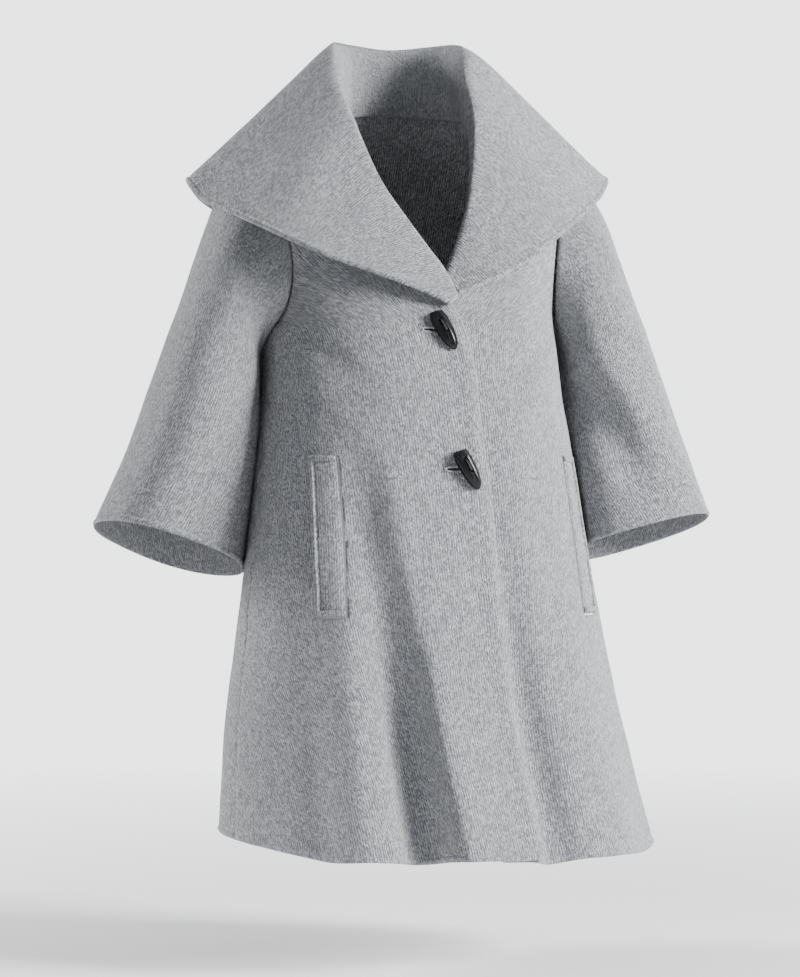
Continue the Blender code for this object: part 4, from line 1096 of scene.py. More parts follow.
COLLAR_LEFT = (
    ((0.000, 0.086, 0.086), (0.000, 0.168, -0.120), 0.015),
    ((0.046, 0.066, 0.088), (0.123, 0.152, -0.116), 0.013),
    ((0.063, 0.030, 0.086), (0.206, 0.102, -0.090), 0.022),
    ((0.066, -0.004, 0.076), (0.243, 0.038, -0.061), 0.030),
    ((0.063, -0.033, 0.044), (0.218, -0.022, -0.090), 0.022),
    ((0.066, -0.062, 0.000), (0.182, -0.070, -0.1156), 0.014),
    ((0.058, -0.089, -0.066), (0.140, -0.110, -0.144), 0.008),
    ((0.042, -0.110, -0.126), (0.085, -0.136, -0.179), 0.007),
    ((0.0105, -0.1245, -0.198), (0.0150, -0.1370, -0.2085), 0.006),
)
COLLAR_LAP = 0.0045
COLLAR_PAST_EDGE = 0.0018
# Seated this deep inside the neckline, and deeper at the shoulders, whose place and width are in
# rows counted from the centre back
COLLAR_SEATED = 0.0046
COLLAR_SHOULDER_EASE = 0.0018
COLLAR_SHOULDER_AT = (2.6, 0.9)
COLLAR_OVER_CLOTH = 0.0060
COLLAR_UNEVEN = 0.0008
COLLAR_EDGE_DIP = 0.0007
COLLAR_CREASES = (
    (-1, -0.090, -0.030, -0.170, -0.110, 0.014, 0.0022),
    (-1, -0.070, -0.060, -0.120, -0.150, 0.014, -0.0020),
    (-1, 0.085, -0.030, 0.165, -0.105, 0.014, 0.0022),
    (-1, 0.060, -0.080, 0.110, -0.150, 0.014, -0.0018),
    (1, -0.030, 0.020, -0.060, -0.100, 0.018, -0.0026),
    (1, 0.050, 0.020, 0.090, -0.090, 0.018, -0.0024),
    (1, 0.010, 0.040, 0.015, -0.100, 0.014, 0.0022),
)


def neckline_half(side, grids, normals, front):
    """Points, outward normals and places along half the neckline, from the centre back."""
    step = 1 if side == "left" else -1
    at = [BACK_HALF_COLUMNS + step * k for k in range(NECK_COLUMNS + 1)]
    points = [grids["back"][0, k] for k in at]
    out = [normals["back"][0, k] for k in at]
    places = list(np.linspace(0, SHOULDER_POINT, NECK_COLUMNS + 1))
    last = len(NECKLINE) - 1
    samples = np.linspace(SHOULDER_POINT, last, 400)
    curve = spline(np.arange(len(NECKLINE)), NECKLINE, samples)
    for row in range(1, ROWS_ABOVE_UNDERARM):
        nearest = np.argmin(np.linalg.norm(curve - front[row, 0], axis=1))
        places.append(float(samples[nearest]))
        points.append(grids[side][row, 0])
        out.append(normals[side][row, 0])
    return np.array(points), np.array(out), np.array(places)


def halved_steps(values):
    """The values with a middle one between each two, along the first axis."""
    made = np.repeat(np.asarray(values, float), 2, axis=0)[:-1]
    made[1::2] = (made[:-1:2] + made[2::2]) / 2
    return made


def fall_direction(point):
    """The way out of the body at a point of the collar: forward on the chest, up on the shoulder."""
    x, y = point[:2]
    away = np.array((0.55 * x, y - 0.005, 0.0))
    level = unit(away)
    steep = smoothstep(0.10, 0.20, abs(x)) * (1 - smoothstep(0.05, 0.11, abs(y)))
    return unit(level * (1 - 0.75 * steep) + np.array((0.35 * np.sign(x), 0, 1.0)) * steep)


def kept_off(point, tree, distance, exactly):
    """The point moved straight away from the nearest surface to the given distance."""
    found, _, _, near = tree.find_nearest(Vector(point), 0.02)
    if found is None or (near >= distance and not exactly):
        return point
    found = np.array(found)
    return found + unit(point - found) * distance


def collar_grid(grids, normals):
    """The middle surface of the collar: rows round the neckline, columns from seam to edge."""
    front = front_rows()
    halves = [neckline_half(side, grids, normals, front) for side in ("right", "left")]
    places = np.concatenate([-halves[0][2][:0:-1], halves[1][2]])
    line = np.concatenate([halves[0][0][:0:-1], halves[1][0]])
    line_out = np.concatenate([halves[0][1][:0:-1], halves[1][1]])
    table = COLLAR_RIGHT[:0:-1] + COLLAR_LEFT
    knots = np.arange(len(table)) - (len(COLLAR_RIGHT) - 1)
    at = halved_steps(places[(places >= knots[0]) & (places <= knots[-1])])
    seam = np.stack([np.interp(at, places, line[:, k]) for k in range(3)], axis=1)
    out = np.stack([np.interp(at, places, line_out[:, k]) for k in range(3)], axis=1)
    out = unit(softened(out))
    along = unit(softened(np.gradient(seam, axis=0)))
    away = unit(np.cross(out, along))
    roll, edge, turn = (spline(knots, column(table, COLLAR_COLUMNS, n), at) for n in COLLAR_COLUMNS)
    if np.dot(away[len(at) // 2], (0, 0, 1)) < 0:
        away = -away
    rows = []
    seated = COLLAR_SEATED + COLLAR_SHOULDER_EASE * band(np.abs(at), *COLLAR_SHOULDER_AT)
    for i in range(len(at)):
        near_end = smoothstep(6.3, 8.0, abs(at[i]))
        start = seam[i] - away[i] * COLLAR_LAP - out[i] * seated[i]
        rise = np.linalg.norm(roll[i] - seam[i])
        up = unit(roll[i] - seam[i])
        fall = edge[i] - roll[i]
        beyond = fall - along[i] * np.dot(fall, along[i])
        beyond = unit(beyond - up * np.dot(beyond, up))
        beyond = unit(beyond * (1 - near_end) + out[i] * near_end)
        past_edge = seam[i] + away[i] * COLLAR_PAST_EDGE - out[i] * seated[i]
        inner = bezier(
            past_edge,
            past_edge + away[i] * 0.32 * rise,
            roll[i] - beyond * 0.55 * turn[i],
            roll[i],
            COLLAR_STAND_SHARES,
        )
        outer = bezier(
            roll[i],
            roll[i] + beyond * turn[i],
            edge[i] - fall * 0.55,
            edge[i],
            np.linspace(0, 1, COLLAR_FALL_STEPS + 1) ** 1.25,
        )
        rows.append(np.concatenate([start[None], inner, outer[1:]]))
    return np.array(rows), seated


def settled_collar(rows, seated, tree):
    """The seam seated inside the neckline, and the fall lifted clear of what lies under it."""
    rows = rows.copy()
    for i in range(rows.shape[0]):
        for j in range(len(COLLAR_STAND_SHARES) + 1):
            rows[i, j] = kept_off(rows[i, j], tree, seated[i], exactly=j < 2)
    first = len(COLLAR_STAND_SHARES) + 2
    ways = np.array([[fall_direction(point) for point in row] for row in rows])
    fine = halved_steps(halved_steps(rows).swapaxes(0, 1)).swapaxes(0, 1)
    lift = np.zeros(fine.shape[:2])
    for i in range(fine.shape[0]):
        for j in range(2 * first - 1, fine.shape[1]):
            way = fall_direction(fine[i, j])
            lift[i, j] = lift_needed(fine[i, j], way, tree, COLLAR_OVER_CLOTH, 0.12)
    padded = np.pad(lift, 1)
    around = [padded[a:, b:][: lift.shape[0], : lift.shape[1]] for a in range(3) for b in range(3)]
    lift = np.max(around, axis=0)[::2, ::2]
    spread = softened(softened(lift, 2).T, 2).T
    spread[:, :first] = 0
    return rows + ways * np.maximum(lift, spread)[..., None]


under_collar = tree_of(
    grids["left"], grids["right"], grids["back"], coarse_sleeves["left"], coarse_sleeves["right"]
)
collar_rows = settled_collar(*collar_grid(grids, grid_outs), under_collar)
collar_outs = grid_normals(collar_rows, (0, 0.5, 1))
collar_edges = ("last_column", "first_row", "last_row")
drops = distances(collar_rows, 0)
rows = fine_places(drops[:, -6], True, True)
columns = fine_places(distances(collar_rows, 1)[len(collar_rows) // 3], False, True)
points = refined(collar_rows, rows, columns)
normals = unit(refined(collar_outs, rows, columns))
points = creased(points, normals, COLLAR_CREASES)
points = uneven(points, normals, COLLAR_UNEVEN, 31.7)
straight = (len(rows) // 2, -1)
half = COLLAR_CLOTH / 2
mesh = shell("collar", points, normals, half, collar_edges, straight, COLLAR_EDGE_DIP, weave="across")
collar = add_piece("collar", mesh, wool, "collar_wool", "collar")


# Pockets: a slanted upright welt of the same wool on each front, with a round binding on it.
# It is sewn down on the front, beside the narrow slit of the pocket's mouth.

# The side, and the angles round the body at the welt's top and foot
POCKETS = (("right", -57.5, -55.5), ("left", 60.0, 58.0))
POCKET_TOP = -0.377
POCKET_FOOT = -0.549
POCKET_WIDTH = 0.033

# Heights over the front: the welt's field, its binding over that, and the sewn line and the
# border, which are sunk
WELT_FIELD = 0.0016
WELT_BINDING_HEIGHT = 0.0022
WELT_BINDING_WIDTH = 0.0065
WELT_SEWN_DEPTH = 0.0008
WELT_SEWN_AT = WELT_BINDING_WIDTH + 0.0005
WELT_SEWN_WIDTH = 0.0008
WELT_BORDER_SUNK = 0.0012
WELT_BORDER_FROM = 0.86
WELT_THINNEST = 0.0003
WELT_OFF_FRONT = 0.0002
MOUTH_WIDTH = 0.0026
MOUTH_DEPTH = 0.0026
MOUTH_OVER_CLOTH = 0.004


def on_front(angle, height, tree):
    """The point and outward normal of a front panel at an angle round the body and a height."""
    twist = float(twist_at([height])[0])
    side_y = float(body_value("back", [height])[0] - body_value("front", [height])[0]) / 2
    turn = math.radians(angle)
    way = np.array((math.sin(turn), -math.cos(turn), 0.0))
    c, s = math.cos(twist), math.sin(twist)
    way = Vector((way[0] * c - way[1] * s, way[0] * s + way[1] * c, 0.0))
    sway = float(body_value("sway", [height])[0])
    centre = Vector((-side_y * s + sway, side_y * c, height))
    hit, normal, _, _ = tree.ray_cast(centre + way * 0.5, -way, 0.5)
    if normal.dot(way) < 0:
        normal = -normal
    return np.array(hit), np.array(normal)


def cutter(name, mesh, matrix):
    """A hidden helper that a Boolean subtracts."""
    made = bpy.data.objects.new(name, mesh)
    bpy.context.scene.collection.objects.link(made)
    made.matrix_world = matrix
    made.hide_render = True
    made.display_type = "WIRE"
    return made


def cut(target, tool):
    """Subtracts tool from target."""
    modifier = target.modifiers.new("cut_" + tool.name, "BOOLEAN")
    modifier.operation = "DIFFERENCE"
    modifier.solver = "EXACT"
    modifier.object = tool


def lofted_mesh(name, runs, end_bevel=0.0):
    """A closed mesh through rings of points, with a run of rings for each separate part."""
    mesh = bpy.data.meshes.new(name)
    work = bmesh.new()
    for rings in runs:
        made = [[work.verts.new(point) for point in ring] for ring in rings]
        for low, high in zip(made, made[1:]):
            for j in range(len(low)):
                n = (j + 1) % len(low)
                work.faces.new((low[j], low[n], high[n], high[j]))
        caps = [work.faces.new(made[0]), work.faces.new(made[-1])]
        if end_bevel:
            rims = [edge for cap in caps for edge in cap.edges]
            bmesh.ops.bevel(work, geom=rims, offset=end_bevel, segments=3, affect="EDGES")
    bmesh.ops.recalc_face_normals(work, faces=work.faces)
    work.to_mesh(mesh)
    work.free()
    return mesh


def trench_mesh(line, out, across_way):
    """A closed strip along a line, as wide and as deep as the pocket's mouth."""
    over, under = CLOTH / 2 + MOUTH_OVER_CLOTH, CLOTH / 2 - MOUTH_DEPTH
    corners = ((-0.5, over), (0.5, over), (0.5, under), (-0.5, under))
    rings = np.stack([line + across_way * MOUTH_WIDTH * a + out * b for a, b in corners], axis=1)
    return lofted_mesh("trench", [rings])


mouth_cutters = {"right": [], "left": []}
front_trees = {side: tree_of(body_surfaces[side]) for side in ("right", "left")}
for side, top_angle, foot_angle in POCKETS:
    span = abs(POCKET_FOOT - POCKET_TOP)
    radius = float(body_value("half_width", [(POCKET_TOP + POCKET_FOOT) / 2])[0])
    half_angle = math.degrees(POCKET_WIDTH / 2 / radius)
    toward_front = 1 if side == "right" else -1
    # finer steps over the binding and the sunk border
    across = [np.linspace(0, 0.26, 18), np.linspace(0.30, 0.86, 9), np.linspace(0.89, 1, 7)]
    down = [np.linspace(0, 0.05, 14), np.linspace(0.07, 0.93, 46), np.linspace(0.95, 1, 14)]
    across, down = np.concatenate(across), np.concatenate(down)
    points = np.empty((len(down), len(across), 3))
    outs = np.empty_like(points)
    rise = np.empty(points.shape[:2])
    for i, v in enumerate(down):
        height = POCKET_TOP + (POCKET_FOOT - POCKET_TOP) * v
        angle = top_angle + (foot_angle - top_angle) * v
        for j, u in enumerate(across):
            where = angle + toward_front * half_angle * (2 * u - 1)
            points[i, j], outs[i, j] = on_front(where, height, front_trees[side])
            inward = min(u * POCKET_WIDTH, v * span, (1 - v) * span)
            from_middle = (inward - WELT_BINDING_WIDTH / 2) / (WELT_BINDING_WIDTH / 2)
            bound = math.sqrt(max(0.0, 1 - from_middle**2)) if inward < WELT_BINDING_WIDTH else 0.0
            sewn = WELT_SEWN_DEPTH * band(inward, WELT_SEWN_AT, WELT_SEWN_WIDTH)
            sunk = WELT_BORDER_SUNK * smoothstep(WELT_BORDER_FROM, 1.0, u) * (1 - 0.6 * bound)
            rise[i, j] = WELT_FIELD + WELT_BINDING_HEIGHT * bound - sewn - sunk
    outs = unit(softened(softened(outs, 6).swapaxes(0, 1), 6).swapaxes(0, 1))
    rise = np.maximum(rise, WELT_THINNEST)
    middle = points + outs * (CLOTH / 2 + WELT_OFF_FRONT + rise / 2)[..., None]
    name = "pocket_welt_" + side
    mesh = shell(name, middle, outs, rise / 2, ())
    welt = add_piece(name, mesh, wool, "wool", name)

    # the pocket's mouth: a narrow slit in the front along the welt's inner edge and its foot
    beyond = unit(points[:, -1] - points[:, -2])
    side_line = points[:, -1] + beyond * (MOUTH_WIDTH / 2 + WELT_OFF_FRONT)
    foot_way = unit(points[-1] - points[-2])
    foot_line = points[-1] + foot_way * (MOUTH_WIDTH / 2 + WELT_OFF_FRONT)
    for line, out, across_way in ((side_line, outs[:, -1], beyond), (foot_line, outs[-1], foot_way)):
        trench = trench_mesh(line, out, across_way)
        mouth_cutters[side].append(cutter("mouth_" + side, trench, Matrix()))


# Fastening: two dark horn toggles, each sewn through its two holes to the left front on a
# thread shank. The shank passes a worked buttonhole in the right front.

# The name, the angle round the body and the height of each
TOGGLES = (("upper", -0.9, -0.2415), ("lower", 0.0, -0.3915))
TOGGLE_LENGTH = 0.046
TOGGLE_WIDTH = 0.019
TOGGLE_DEPTH = 0.0095
TOGGLE_LEAN = -27.0
TOGGLE_CENTRE = 0.46
TOGGLE_TAPER_START = 0.30
TOGGLE_TAPER_POWER = 2.2
TOGGLE_TIP_WIDTH = 0.12
TOGGLE_TIP_DEPTH = 0.22
TOGGLE_TOP_WIDTH = 0.80
TOGGLE_TOP_DEPTH = 0.86
TOGGLE_TOP_ROUNDING = 0.18
TOGGLE_SKEW = 0.0020
TOGGLE_HOLES_UP = 0.0035
TOGGLE_HOLE_RADIUS = 0.0019
TOGGLE_HOLE_SPACING = 0.0125
TOGGLE_STANDOFF = 0.0022
SHANK_RADIUS = 0.0011
SLIT_LENGTH = 0.026
SLIT_WIDTH = 0.0034
SLIT_BEYOND_SHANK = 0.003
TOGGLE_SECTIONS = 44
TOGGLE_SIDES = 60
TOGGLE_BACK_SHARE = 0.2
TOGGLE_END_BEVEL = 0.0007
TOGGLE_SHARP_ANGLE = 24
HOLE_SIDES = 28
HOLE_CHAMFER_DEPTH = 0.0024
HOLE_CHAMFER_AT = 0.0006
HOLE_CHAMFER_WIDER = 0.0016
STRAND_RADIUS = 0.00050
STRANDS_APART = 0.00105
SHANK_STRANDS = 5
SHANK_STRAND_STEPS = 12
SHANK_TURNS = 0.8
STITCH_COUNT = 58
STITCH_RADIUS = 0.00052
STITCH_OFF_SLIT = 0.0002

# A buttonhole stitch from the slit outward: how far from its edge, and how high over the cloth
STITCH_PROFILE = (
    (-0.0002, -0.0012),
    (-0.0001, 0.0004),
    (0.0006, 0.0009),
    (0.0016, 0.0007),
    (0.0024, -0.0004),
)

# The toggle's cut section: half-turns round it, how far across and how far out of the flat back
FACETS = (
    (0.00, 1.00, 0.12),
    (0.02, 1.00, 0.24),
    (0.16, 0.90, 0.62),
    (0.20, 0.80, 0.76),
    (0.36, 0.44, 0.98),
    (0.42, 0.32, 1.00),
    (0.62, -0.34, 0.98),
    (0.66, -0.46, 0.93),
    (0.90, -0.94, 0.40),
    (0.94, -0.99, 0.28),
    (1.00, -1.00, 0.10),
)


def dark_horn():
    """Polished dark horn, with faint streaks along the toggle."""
    made, tree, shader = plain_material("dark_horn")
    place = add_node(tree, "TexCoord").outputs["Object"]
    stretched = add_node(tree, "VectorMath", place, (900.0, 120.0, 900.0), operation="MULTIPLY")
    streaks = add_node(tree, "TexNoise", stretched.outputs[0])
    set_values(streaks, Scale=1.0, Detail=6.0)
    streak = in_range(tree, streaks.outputs[0], 0.35, 0.70, 0.0, 1.0)
    colour = mixed(tree, streak, (0.003, 0.003, 0.004, 1.0), (0.012, 0.012, 0.014, 1.0))
    tree.links.new(colour, shader.inputs["Base Color"])
    tree.links.new(in_range(tree, streak, 0.0, 1.0, 0.20, 0.34), shader.inputs["Roughness"])
    add_relief(tree, shader, streaks.outputs[0], 0.25, 0.0002)
    set_values(shader, Specular_IOR_Level=0.30)
    return made


def thread_material(name, hollow_shade, top):
    """Twisted sewing thread: its own colour on top of the plies, and a darker painted shade in the
    hollows between them.
    """
    made, tree, shader = plain_material(name)
    place = add_node(tree, "TexCoord").outputs["Object"]
    plies = add_node(tree, "TexWave", place, bands_direction="DIAGONAL")
    set_values(plies, Scale=900.0, Distortion=3.0)
    # the colour mixed in between the plies is painted shade for their hollows, not a second colour of
    # thread
    tree.links.new(mixed(tree, plies.outputs["Fac"], hollow_shade, top), shader.inputs["Base Color"])
    add_relief(tree, shader, plies.outputs["Fac"], 0.5, 0.0002)
    set_values(shader, Roughness=0.75)
    return made


horn = dark_horn()
# the first colour of each thread is painted shade for the hollows between its plies, the second is the
# thread's own colour
thread = thread_material("dark_thread", (0.010, 0.010, 0.012, 1.0), (0.045, 0.046, 0.050, 1.0))
wool_thread = thread_material("wool_thread", (0.200, 0.206, 0.218, 1.0), (0.620, 0.630, 0.650, 1.0))


def placed(point, out, lean):
    """A matrix that puts local Z along out and local Y down the leaning toggle."""
    out = Vector(out).normalized()
    down = Vector((0, 0, -1))
    down = (down - out * down.dot(out)).normalized()
    across = out.cross(down)
    lean = math.radians(lean)
    y_axis = down * math.cos(lean) - across * math.sin(lean)
    x_axis = y_axis.cross(out)
    matrix = Matrix((x_axis, y_axis, out)).transposed().to_4x4()
    matrix.translation = Vector(point)
    return matrix


def cone_mesh(name, low_radius, high_radius, low, high):
    """A round rod or a cone along local Z between two heights."""
    mesh = bpy.data.meshes.new(name)
    work = bmesh.new()
    middle = Matrix.Translation((0, 0, (low + high) / 2))
    bmesh.ops.create_cone(
        work,
        cap_ends=True,
        segments=HOLE_SIDES,
        radius1=low_radius,
        radius2=high_radius,
        depth=high - low,
        matrix=middle,
    )
    work.to_mesh(mesh)
    work.free()
    return mesh


def box_mesh(name, size):
    """A box of the given size about its own centre."""
    mesh = bpy.data.meshes.new(name)
    work = bmesh.new()
    bmesh.ops.create_cube(work, size=1.0)
    bmesh.ops.scale(work, verts=work.verts, vec=size)
    work.to_mesh(mesh)
    work.free()
    return mesh


def toggle_mesh():
    """A flat-backed horn toggle along local Y, blunt at the top and drawn to a tip."""
    rings = []
    turns, facet_across, facet_out = np.array(FACETS).T
    for k in range(TOGGLE_SECTIONS):
        v = k / (TOGGLE_SECTIONS - 1)
        y = TOGGLE_LENGTH * (v - TOGGLE_CENTRE)
        past_start = max(0.0, (v - TOGGLE_TAPER_START) / (1 - TOGGLE_TAPER_START))
        taper = math.sqrt(max(0.0, 1 - past_start**TOGGLE_TAPER_POWER))
        full = min(1.0, v / TOGGLE_TOP_ROUNDING)
        width = max(TOGGLE_TIP_WIDTH, taper) * (TOGGLE_TOP_WIDTH + (1 - TOGGLE_TOP_WIDTH) * full)
        depth = max(TOGGLE_TIP_DEPTH, taper) * (TOGGLE_TOP_DEPTH + (1 - TOGGLE_TOP_DEPTH) * full)
        ring = []
        for j in range(TOGGLE_SIDES):
            part = (1 + TOGGLE_BACK_SHARE) * j / TOGGLE_SIDES
            across = float(np.interp(part, turns, facet_across))
            out = float(np.interp(part, turns, facet_out))
            if part > 1.0:
                across = -1.0 + 2.0 * (part - 1.0) / TOGGLE_BACK_SHARE
                out = 0.10 * abs(across) ** 8
            x = TOGGLE_WIDTH / 2 * width * across
            z = TOGGLE_DEPTH * depth * out
            skew = TOGGLE_SKEW * (1 - v) * across * depth * out
            ring.append((x, y - skew, z))
        rings.append(ring)
    mesh = lofted_mesh("toggle", [rings], TOGGLE_END_BEVEL)
    mesh.shade_smooth()
    return mesh


def applied(thing):
    """The mesh of an object with its modifiers."""
    graph = bpy.context.evaluated_depsgraph_get()
    made = bpy.data.meshes.new_from_object(thing.evaluated_get(graph))
    thing.modifiers.clear()
    return made


def strand_mesh(paths, radius, sides=8):
    """Round strands of thread, each along its own path, with drawn-in ends."""
    runs = []
    turns = [2 * math.pi * j / sides for j in range(sides)]
    for path in paths:
        path = np.array(path, float)
        ways = unit(np.gradient(path, axis=0))
        side_way = unit(np.cross(ways[0], ways[0][[1, 2, 0]] + 0.31))
        rings = []
        for k, (point, way) in enumerate(zip(path, ways)):
            side_way = unit(side_way - way * np.dot(side_way, way))
            other = np.cross(way, side_way)
            thin = radius * (0.45 if k in (0, len(path) - 1) else 1.0)
            rings.append([point + (side_way * math.cos(a) + other * math.sin(a)) * thin for a in turns])
        runs.append(rings)
    mesh = lofted_mesh("strands", runs)
    mesh.shade_smooth()
    return mesh


slit_cutters = []
for name, angle, height in TOGGLES:
    point, out = on_front(angle, height, front_trees["right"])
    under, _ = on_front(angle, height, front_trees["left"])
    face = point + out * (CLOTH / 2)
    back = face + out * TOGGLE_STANDOFF
    toggle = bpy.data.objects.new("toggle_" + name, toggle_mesh())
    bpy.context.scene.collection.objects.link(toggle)
    toggle.matrix_world = placed(back, out, TOGGLE_LEAN)
    bpy.context.view_layer.update()
    helpers, hole_places = [], []
    radius = TOGGLE_HOLE_RADIUS
    hole = cone_mesh("hole", radius, radius, -0.004, TOGGLE_DEPTH + 0.004)
    low = TOGGLE_DEPTH - HOLE_CHAMFER_AT - HOLE_CHAMFER_DEPTH / 2
    high = low + HOLE_CHAMFER_DEPTH
    chamfer = cone_mesh("chamfer", radius - 0.0001, radius + HOLE_CHAMFER_WIDER, low, high)
    for share in (-0.5, 0.5):
        at = toggle.matrix_world @ Vector((0, TOGGLE_HOLE_SPACING * share - TOGGLE_HOLES_UP, 0))
        hole_places.append(at)
        for shape in (hole, chamfer):
            helpers.append(cutter(f"hole_{name}_{len(helpers)}", shape, placed(at, out, TOGGLE_LEAN)))
            cut(toggle, helpers[-1])
    bpy.context.view_layer.update()
    toggle.data = applied(toggle)
    toggle.data.shade_smooth()
    toggle.data.set_sharp_from_angle(angle=math.radians(TOGGLE_SHARP_ANGLE))
    toggle.data.materials.clear()
    toggle.data.materials.append(horn)
    for helper in helpers:
        bpy.data.objects.remove(helper)
    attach(toggle, "root")
    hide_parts("toggle_" + name)

    # thread: two strands from hole to hole over the horn, and down into both holes
    away = Vector(out)
    first, second = hole_places
    apart = second - first
    beside = apart.cross(away).normalized()
    paths = []
    for k in (-0.5, 0.5):
        shift = beside * (STRANDS_APART * k)
        top = away * (TOGGLE_DEPTH + 0.0003)
        paths.append(
            [
                first + shift + away * 0.0010,
                first + shift + away * (TOGGLE_DEPTH * 0.7),
                first + shift * 1.1 + top - apart * 0.02,
                first + shift * 1.2 + top + away * 0.0006 + apart * 0.15,
                first + apart * 0.5 + shift * 1.2 + top + away * (0.0008 - 0.0002 * abs(k)),
                first + shift * 1.2 + top + away * 0.0006 + apart * 0.85,
                first + shift * 1.1 + top + apart * 1.02,
                second + shift + away * (TOGGLE_DEPTH * 0.7),
                second + shift + away * 0.0010,
            ]
        )
    add_piece("toggle_thread_" + name, strand_mesh(paths, STRAND_RADIUS), thread, "thread")

    # shank: strands wound side by side from the left front out to the toggle
    depth = float(np.dot(face - under, out))
    low = -(depth - CLOTH / 2) + 2 * SEAM_GAP
    frame_at_face = placed(face, out, 0.0)
    paths = []
    for k in range(SHANK_STRANDS):
        path = []
        for step in np.linspace(0, 1, SHANK_STRAND_STEPS):
            a = 2 * math.pi * (k / SHANK_STRANDS + step * SHANK_TURNS)
            z = low + (TOGGLE_STANDOFF - SEAM_GAP - low) * step
            spread = SHANK_RADIUS * 0.60
            path.append(frame_at_face @ Vector((math.cos(a) * spread, math.sin(a) * spread, z)))
        paths.append(path)
    add_piece("shank_" + name, strand_mesh(paths, SHANK_RADIUS * 0.42), thread, "thread", "shank_" + name)

    # buttonhole: a slit, with stitches side by side over its edge all the way round
    slit_frame = placed(point, out, 0.0)
    toward_edge = slit_frame.inverted().to_3x3() @ Vector((1, 0, 0))
    shift = math.copysign(SLIT_LENGTH / 2 - SLIT_BEYOND_SHANK, -toward_edge.x)
    slit_frame = slit_frame @ Matrix.Translation((shift, 0, 0))
    slit = box_mesh("slit", (SLIT_LENGTH, SLIT_WIDTH, 0.020))
    slit_cutters.append(cutter("slit_" + name, slit, slit_frame))
    paths = []
    for k in range(STITCH_COUNT):
        c, s = math.cos(2 * math.pi * k / STITCH_COUNT), math.sin(2 * math.pi * k / STITCH_COUNT)
        x = math.copysign(abs(c) ** 0.75, c) * (SLIT_LENGTH / 2 + STITCH_OFF_SLIT)
        y = math.copysign(abs(s) ** 0.55, s) * (SLIT_WIDTH / 2 + STITCH_OFF_SLIT)
        way = Vector((x * 0.25 if abs(x) < SLIT_LENGTH * 0.42 else x, y * 1.2, 0)).normalized()
        base = Vector((x, y, 0))
        path = []
        for reach, rise in STITCH_PROFILE:
            local = base + way * reach
            world = slit_frame @ Vector((local.x, local.y, 0))
            hit, _, _, _ = front_trees["right"].ray_cast(world + away * 0.02, -away, 0.04)
            path.append(hit + away * (CLOTH / 2 + rise))
        paths.append(path)
    stitches = strand_mesh(paths, STITCH_RADIUS, sides=6)
    add_piece("buttonhole_" + name, stitches, wool_thread, "wool")

# the slits and the pockets' mouths are cut through the finished fronts
for side, helpers in (("right", slit_cutters + mouth_cutters["right"]), ("left", mouth_cutters["left"])):
    front = body_pieces[side]
    for helper in helpers:
        cut(front, helper)
    bpy.context.view_layer.update()
    front.data = applied(front)
    for helper in helpers:
        bpy.data.objects.remove(helper)


# Camera at the photograph's angle, a pale paper floor, and soft studio light that is stronger
# from the coat's own left.

# The camera is level, and the photograph's middle lies a few pixels from the camera's own
CAMERA_AZIMUTH = -12.0
CAMERA_DISTANCE = 4.0
CAMERA_HEIGHT = -0.403
METRES_PER_PIXEL = 0.00112
PHOTO_HEIGHT = 977
PIXELS_LEFT = 5.0
PIXELS_DOWN = 8.5
SENSOR = 36.0
FLOOR = -0.930
FLOOR_RADIUS = 2.6
FLOOR_FADES_FROM = 0.25
FLOOR_SIDES = 96

turn = math.radians(CAMERA_AZIMUTH)
back_way = Vector((math.sin(turn), -math.cos(turn), 0.0))
camera = bpy.data.objects.new("camera", bpy.data.cameras.new("camera"))
bpy.context.scene.collection.objects.link(camera)
camera.location = Vector((0, 0, CAMERA_HEIGHT)) + back_way * CAMERA_DISTANCE
camera.rotation_mode = "QUATERNION"
camera.rotation_quaternion = (-back_way).to_track_quat("-Z", "Y")
camera.data.sensor_width = SENSOR
camera.data.lens = SENSOR * CAMERA_DISTANCE / (PHOTO_HEIGHT * METRES_PER_PIXEL)
camera.data.shift_x = -PIXELS_LEFT / PHOTO_HEIGHT
camera.data.shift_y = -PIXELS_DOWN / PHOTO_HEIGHT
bpy.context.scene.camera = camera

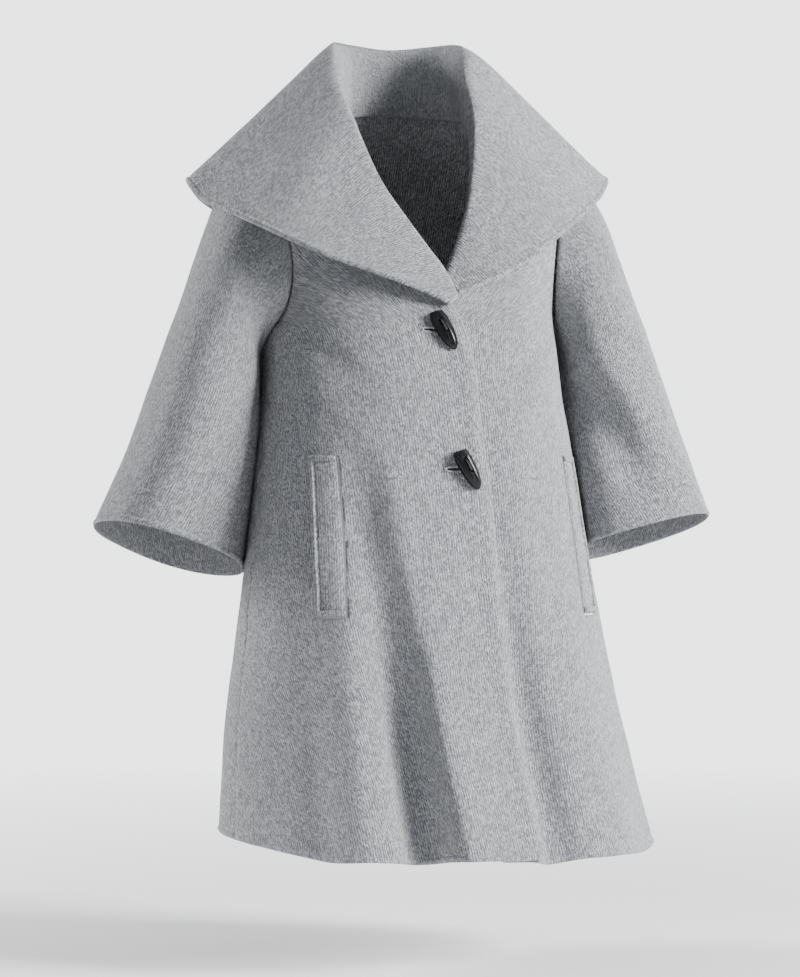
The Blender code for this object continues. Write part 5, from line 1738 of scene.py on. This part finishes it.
# the paper floor fades out round the coat, so that it has no hard edge
paper, tree, shader = plain_material("pale_paper")
set_values(shader, Base_Color=(0.88, 0.88, 0.89, 1), Roughness=0.9, Specular_IOR_Level=0.1)
place = add_node(tree, "TexCoord").outputs["Object"]
away = add_node(tree, "VectorMath", place, operation="LENGTH").outputs["Value"]
faded = in_range(tree, away, FLOOR_RADIUS * FLOOR_FADES_FROM, FLOOR_RADIUS, 1.0, 0.0)
tree.links.new(faded, shader.inputs["Alpha"])
floor_mesh = bpy.data.meshes.new("floor")
rim = [2 * math.pi * k / FLOOR_SIDES for k in range(FLOOR_SIDES)]
vertices = [(FLOOR_RADIUS * math.cos(a), FLOOR_RADIUS * math.sin(a), 0.0) for a in rim]
floor_mesh.from_pydata(vertices, [], [tuple(range(FLOOR_SIDES))])
floor_mesh.materials.append(paper)
floor = bpy.data.objects.new("floor", floor_mesh)
bpy.context.scene.collection.objects.link(floor)
floor.location = (0.0, 0.0, FLOOR)

# The name, place, size and watts of each lamp
LIGHTS = (
    ("key", (3.2, -2.2, 0.9), 1.5, 540.0),
    ("fill", (-3.2, -2.6, 0.5), 2.4, 14.0),
    ("top", (0.9, -0.4, 2.6), 1.8, 12.0),
    ("back", (-3.3, 2.0, 0.9), 1.4, 330.0),
)
for name, place, size, watts in LIGHTS:
    lamp = bpy.data.lights.new(name, "AREA")
    lamp.energy = watts
    lamp.size = size
    made = bpy.data.objects.new(name, lamp)
    bpy.context.scene.collection.objects.link(made)
    made.location = place
    made.rotation_mode = "QUATERNION"
    made.rotation_quaternion = (Vector((0, 0, -0.4)) - Vector(place)).to_track_quat("-Z", "Y")

# The room is white straight behind the coat and dimmer all round
FRONT_AIR = (0.22, 0.23, 0.25, 1.0)
BACK_AIR = (3.10, 3.13, 3.20, 1.0)
WHITE_FROM = 0.930
WHITE_FULL = 0.982

world = bpy.data.worlds.new("studio")
bpy.context.scene.world = world
world.use_nodes = True
tree = world.node_tree
place = add_node(tree, "TexCoord").outputs["Generated"]
behind = add_node(tree, "VectorMath", place, tuple(-back_way), operation="DOT_PRODUCT").outputs["Value"]
pale = in_range(tree, behind, WHITE_FROM, WHITE_FULL, 0.0, 1.0)
tree.links.new(mixed(tree, pale, FRONT_AIR, BACK_AIR), tree.nodes["Background"].inputs["Color"])
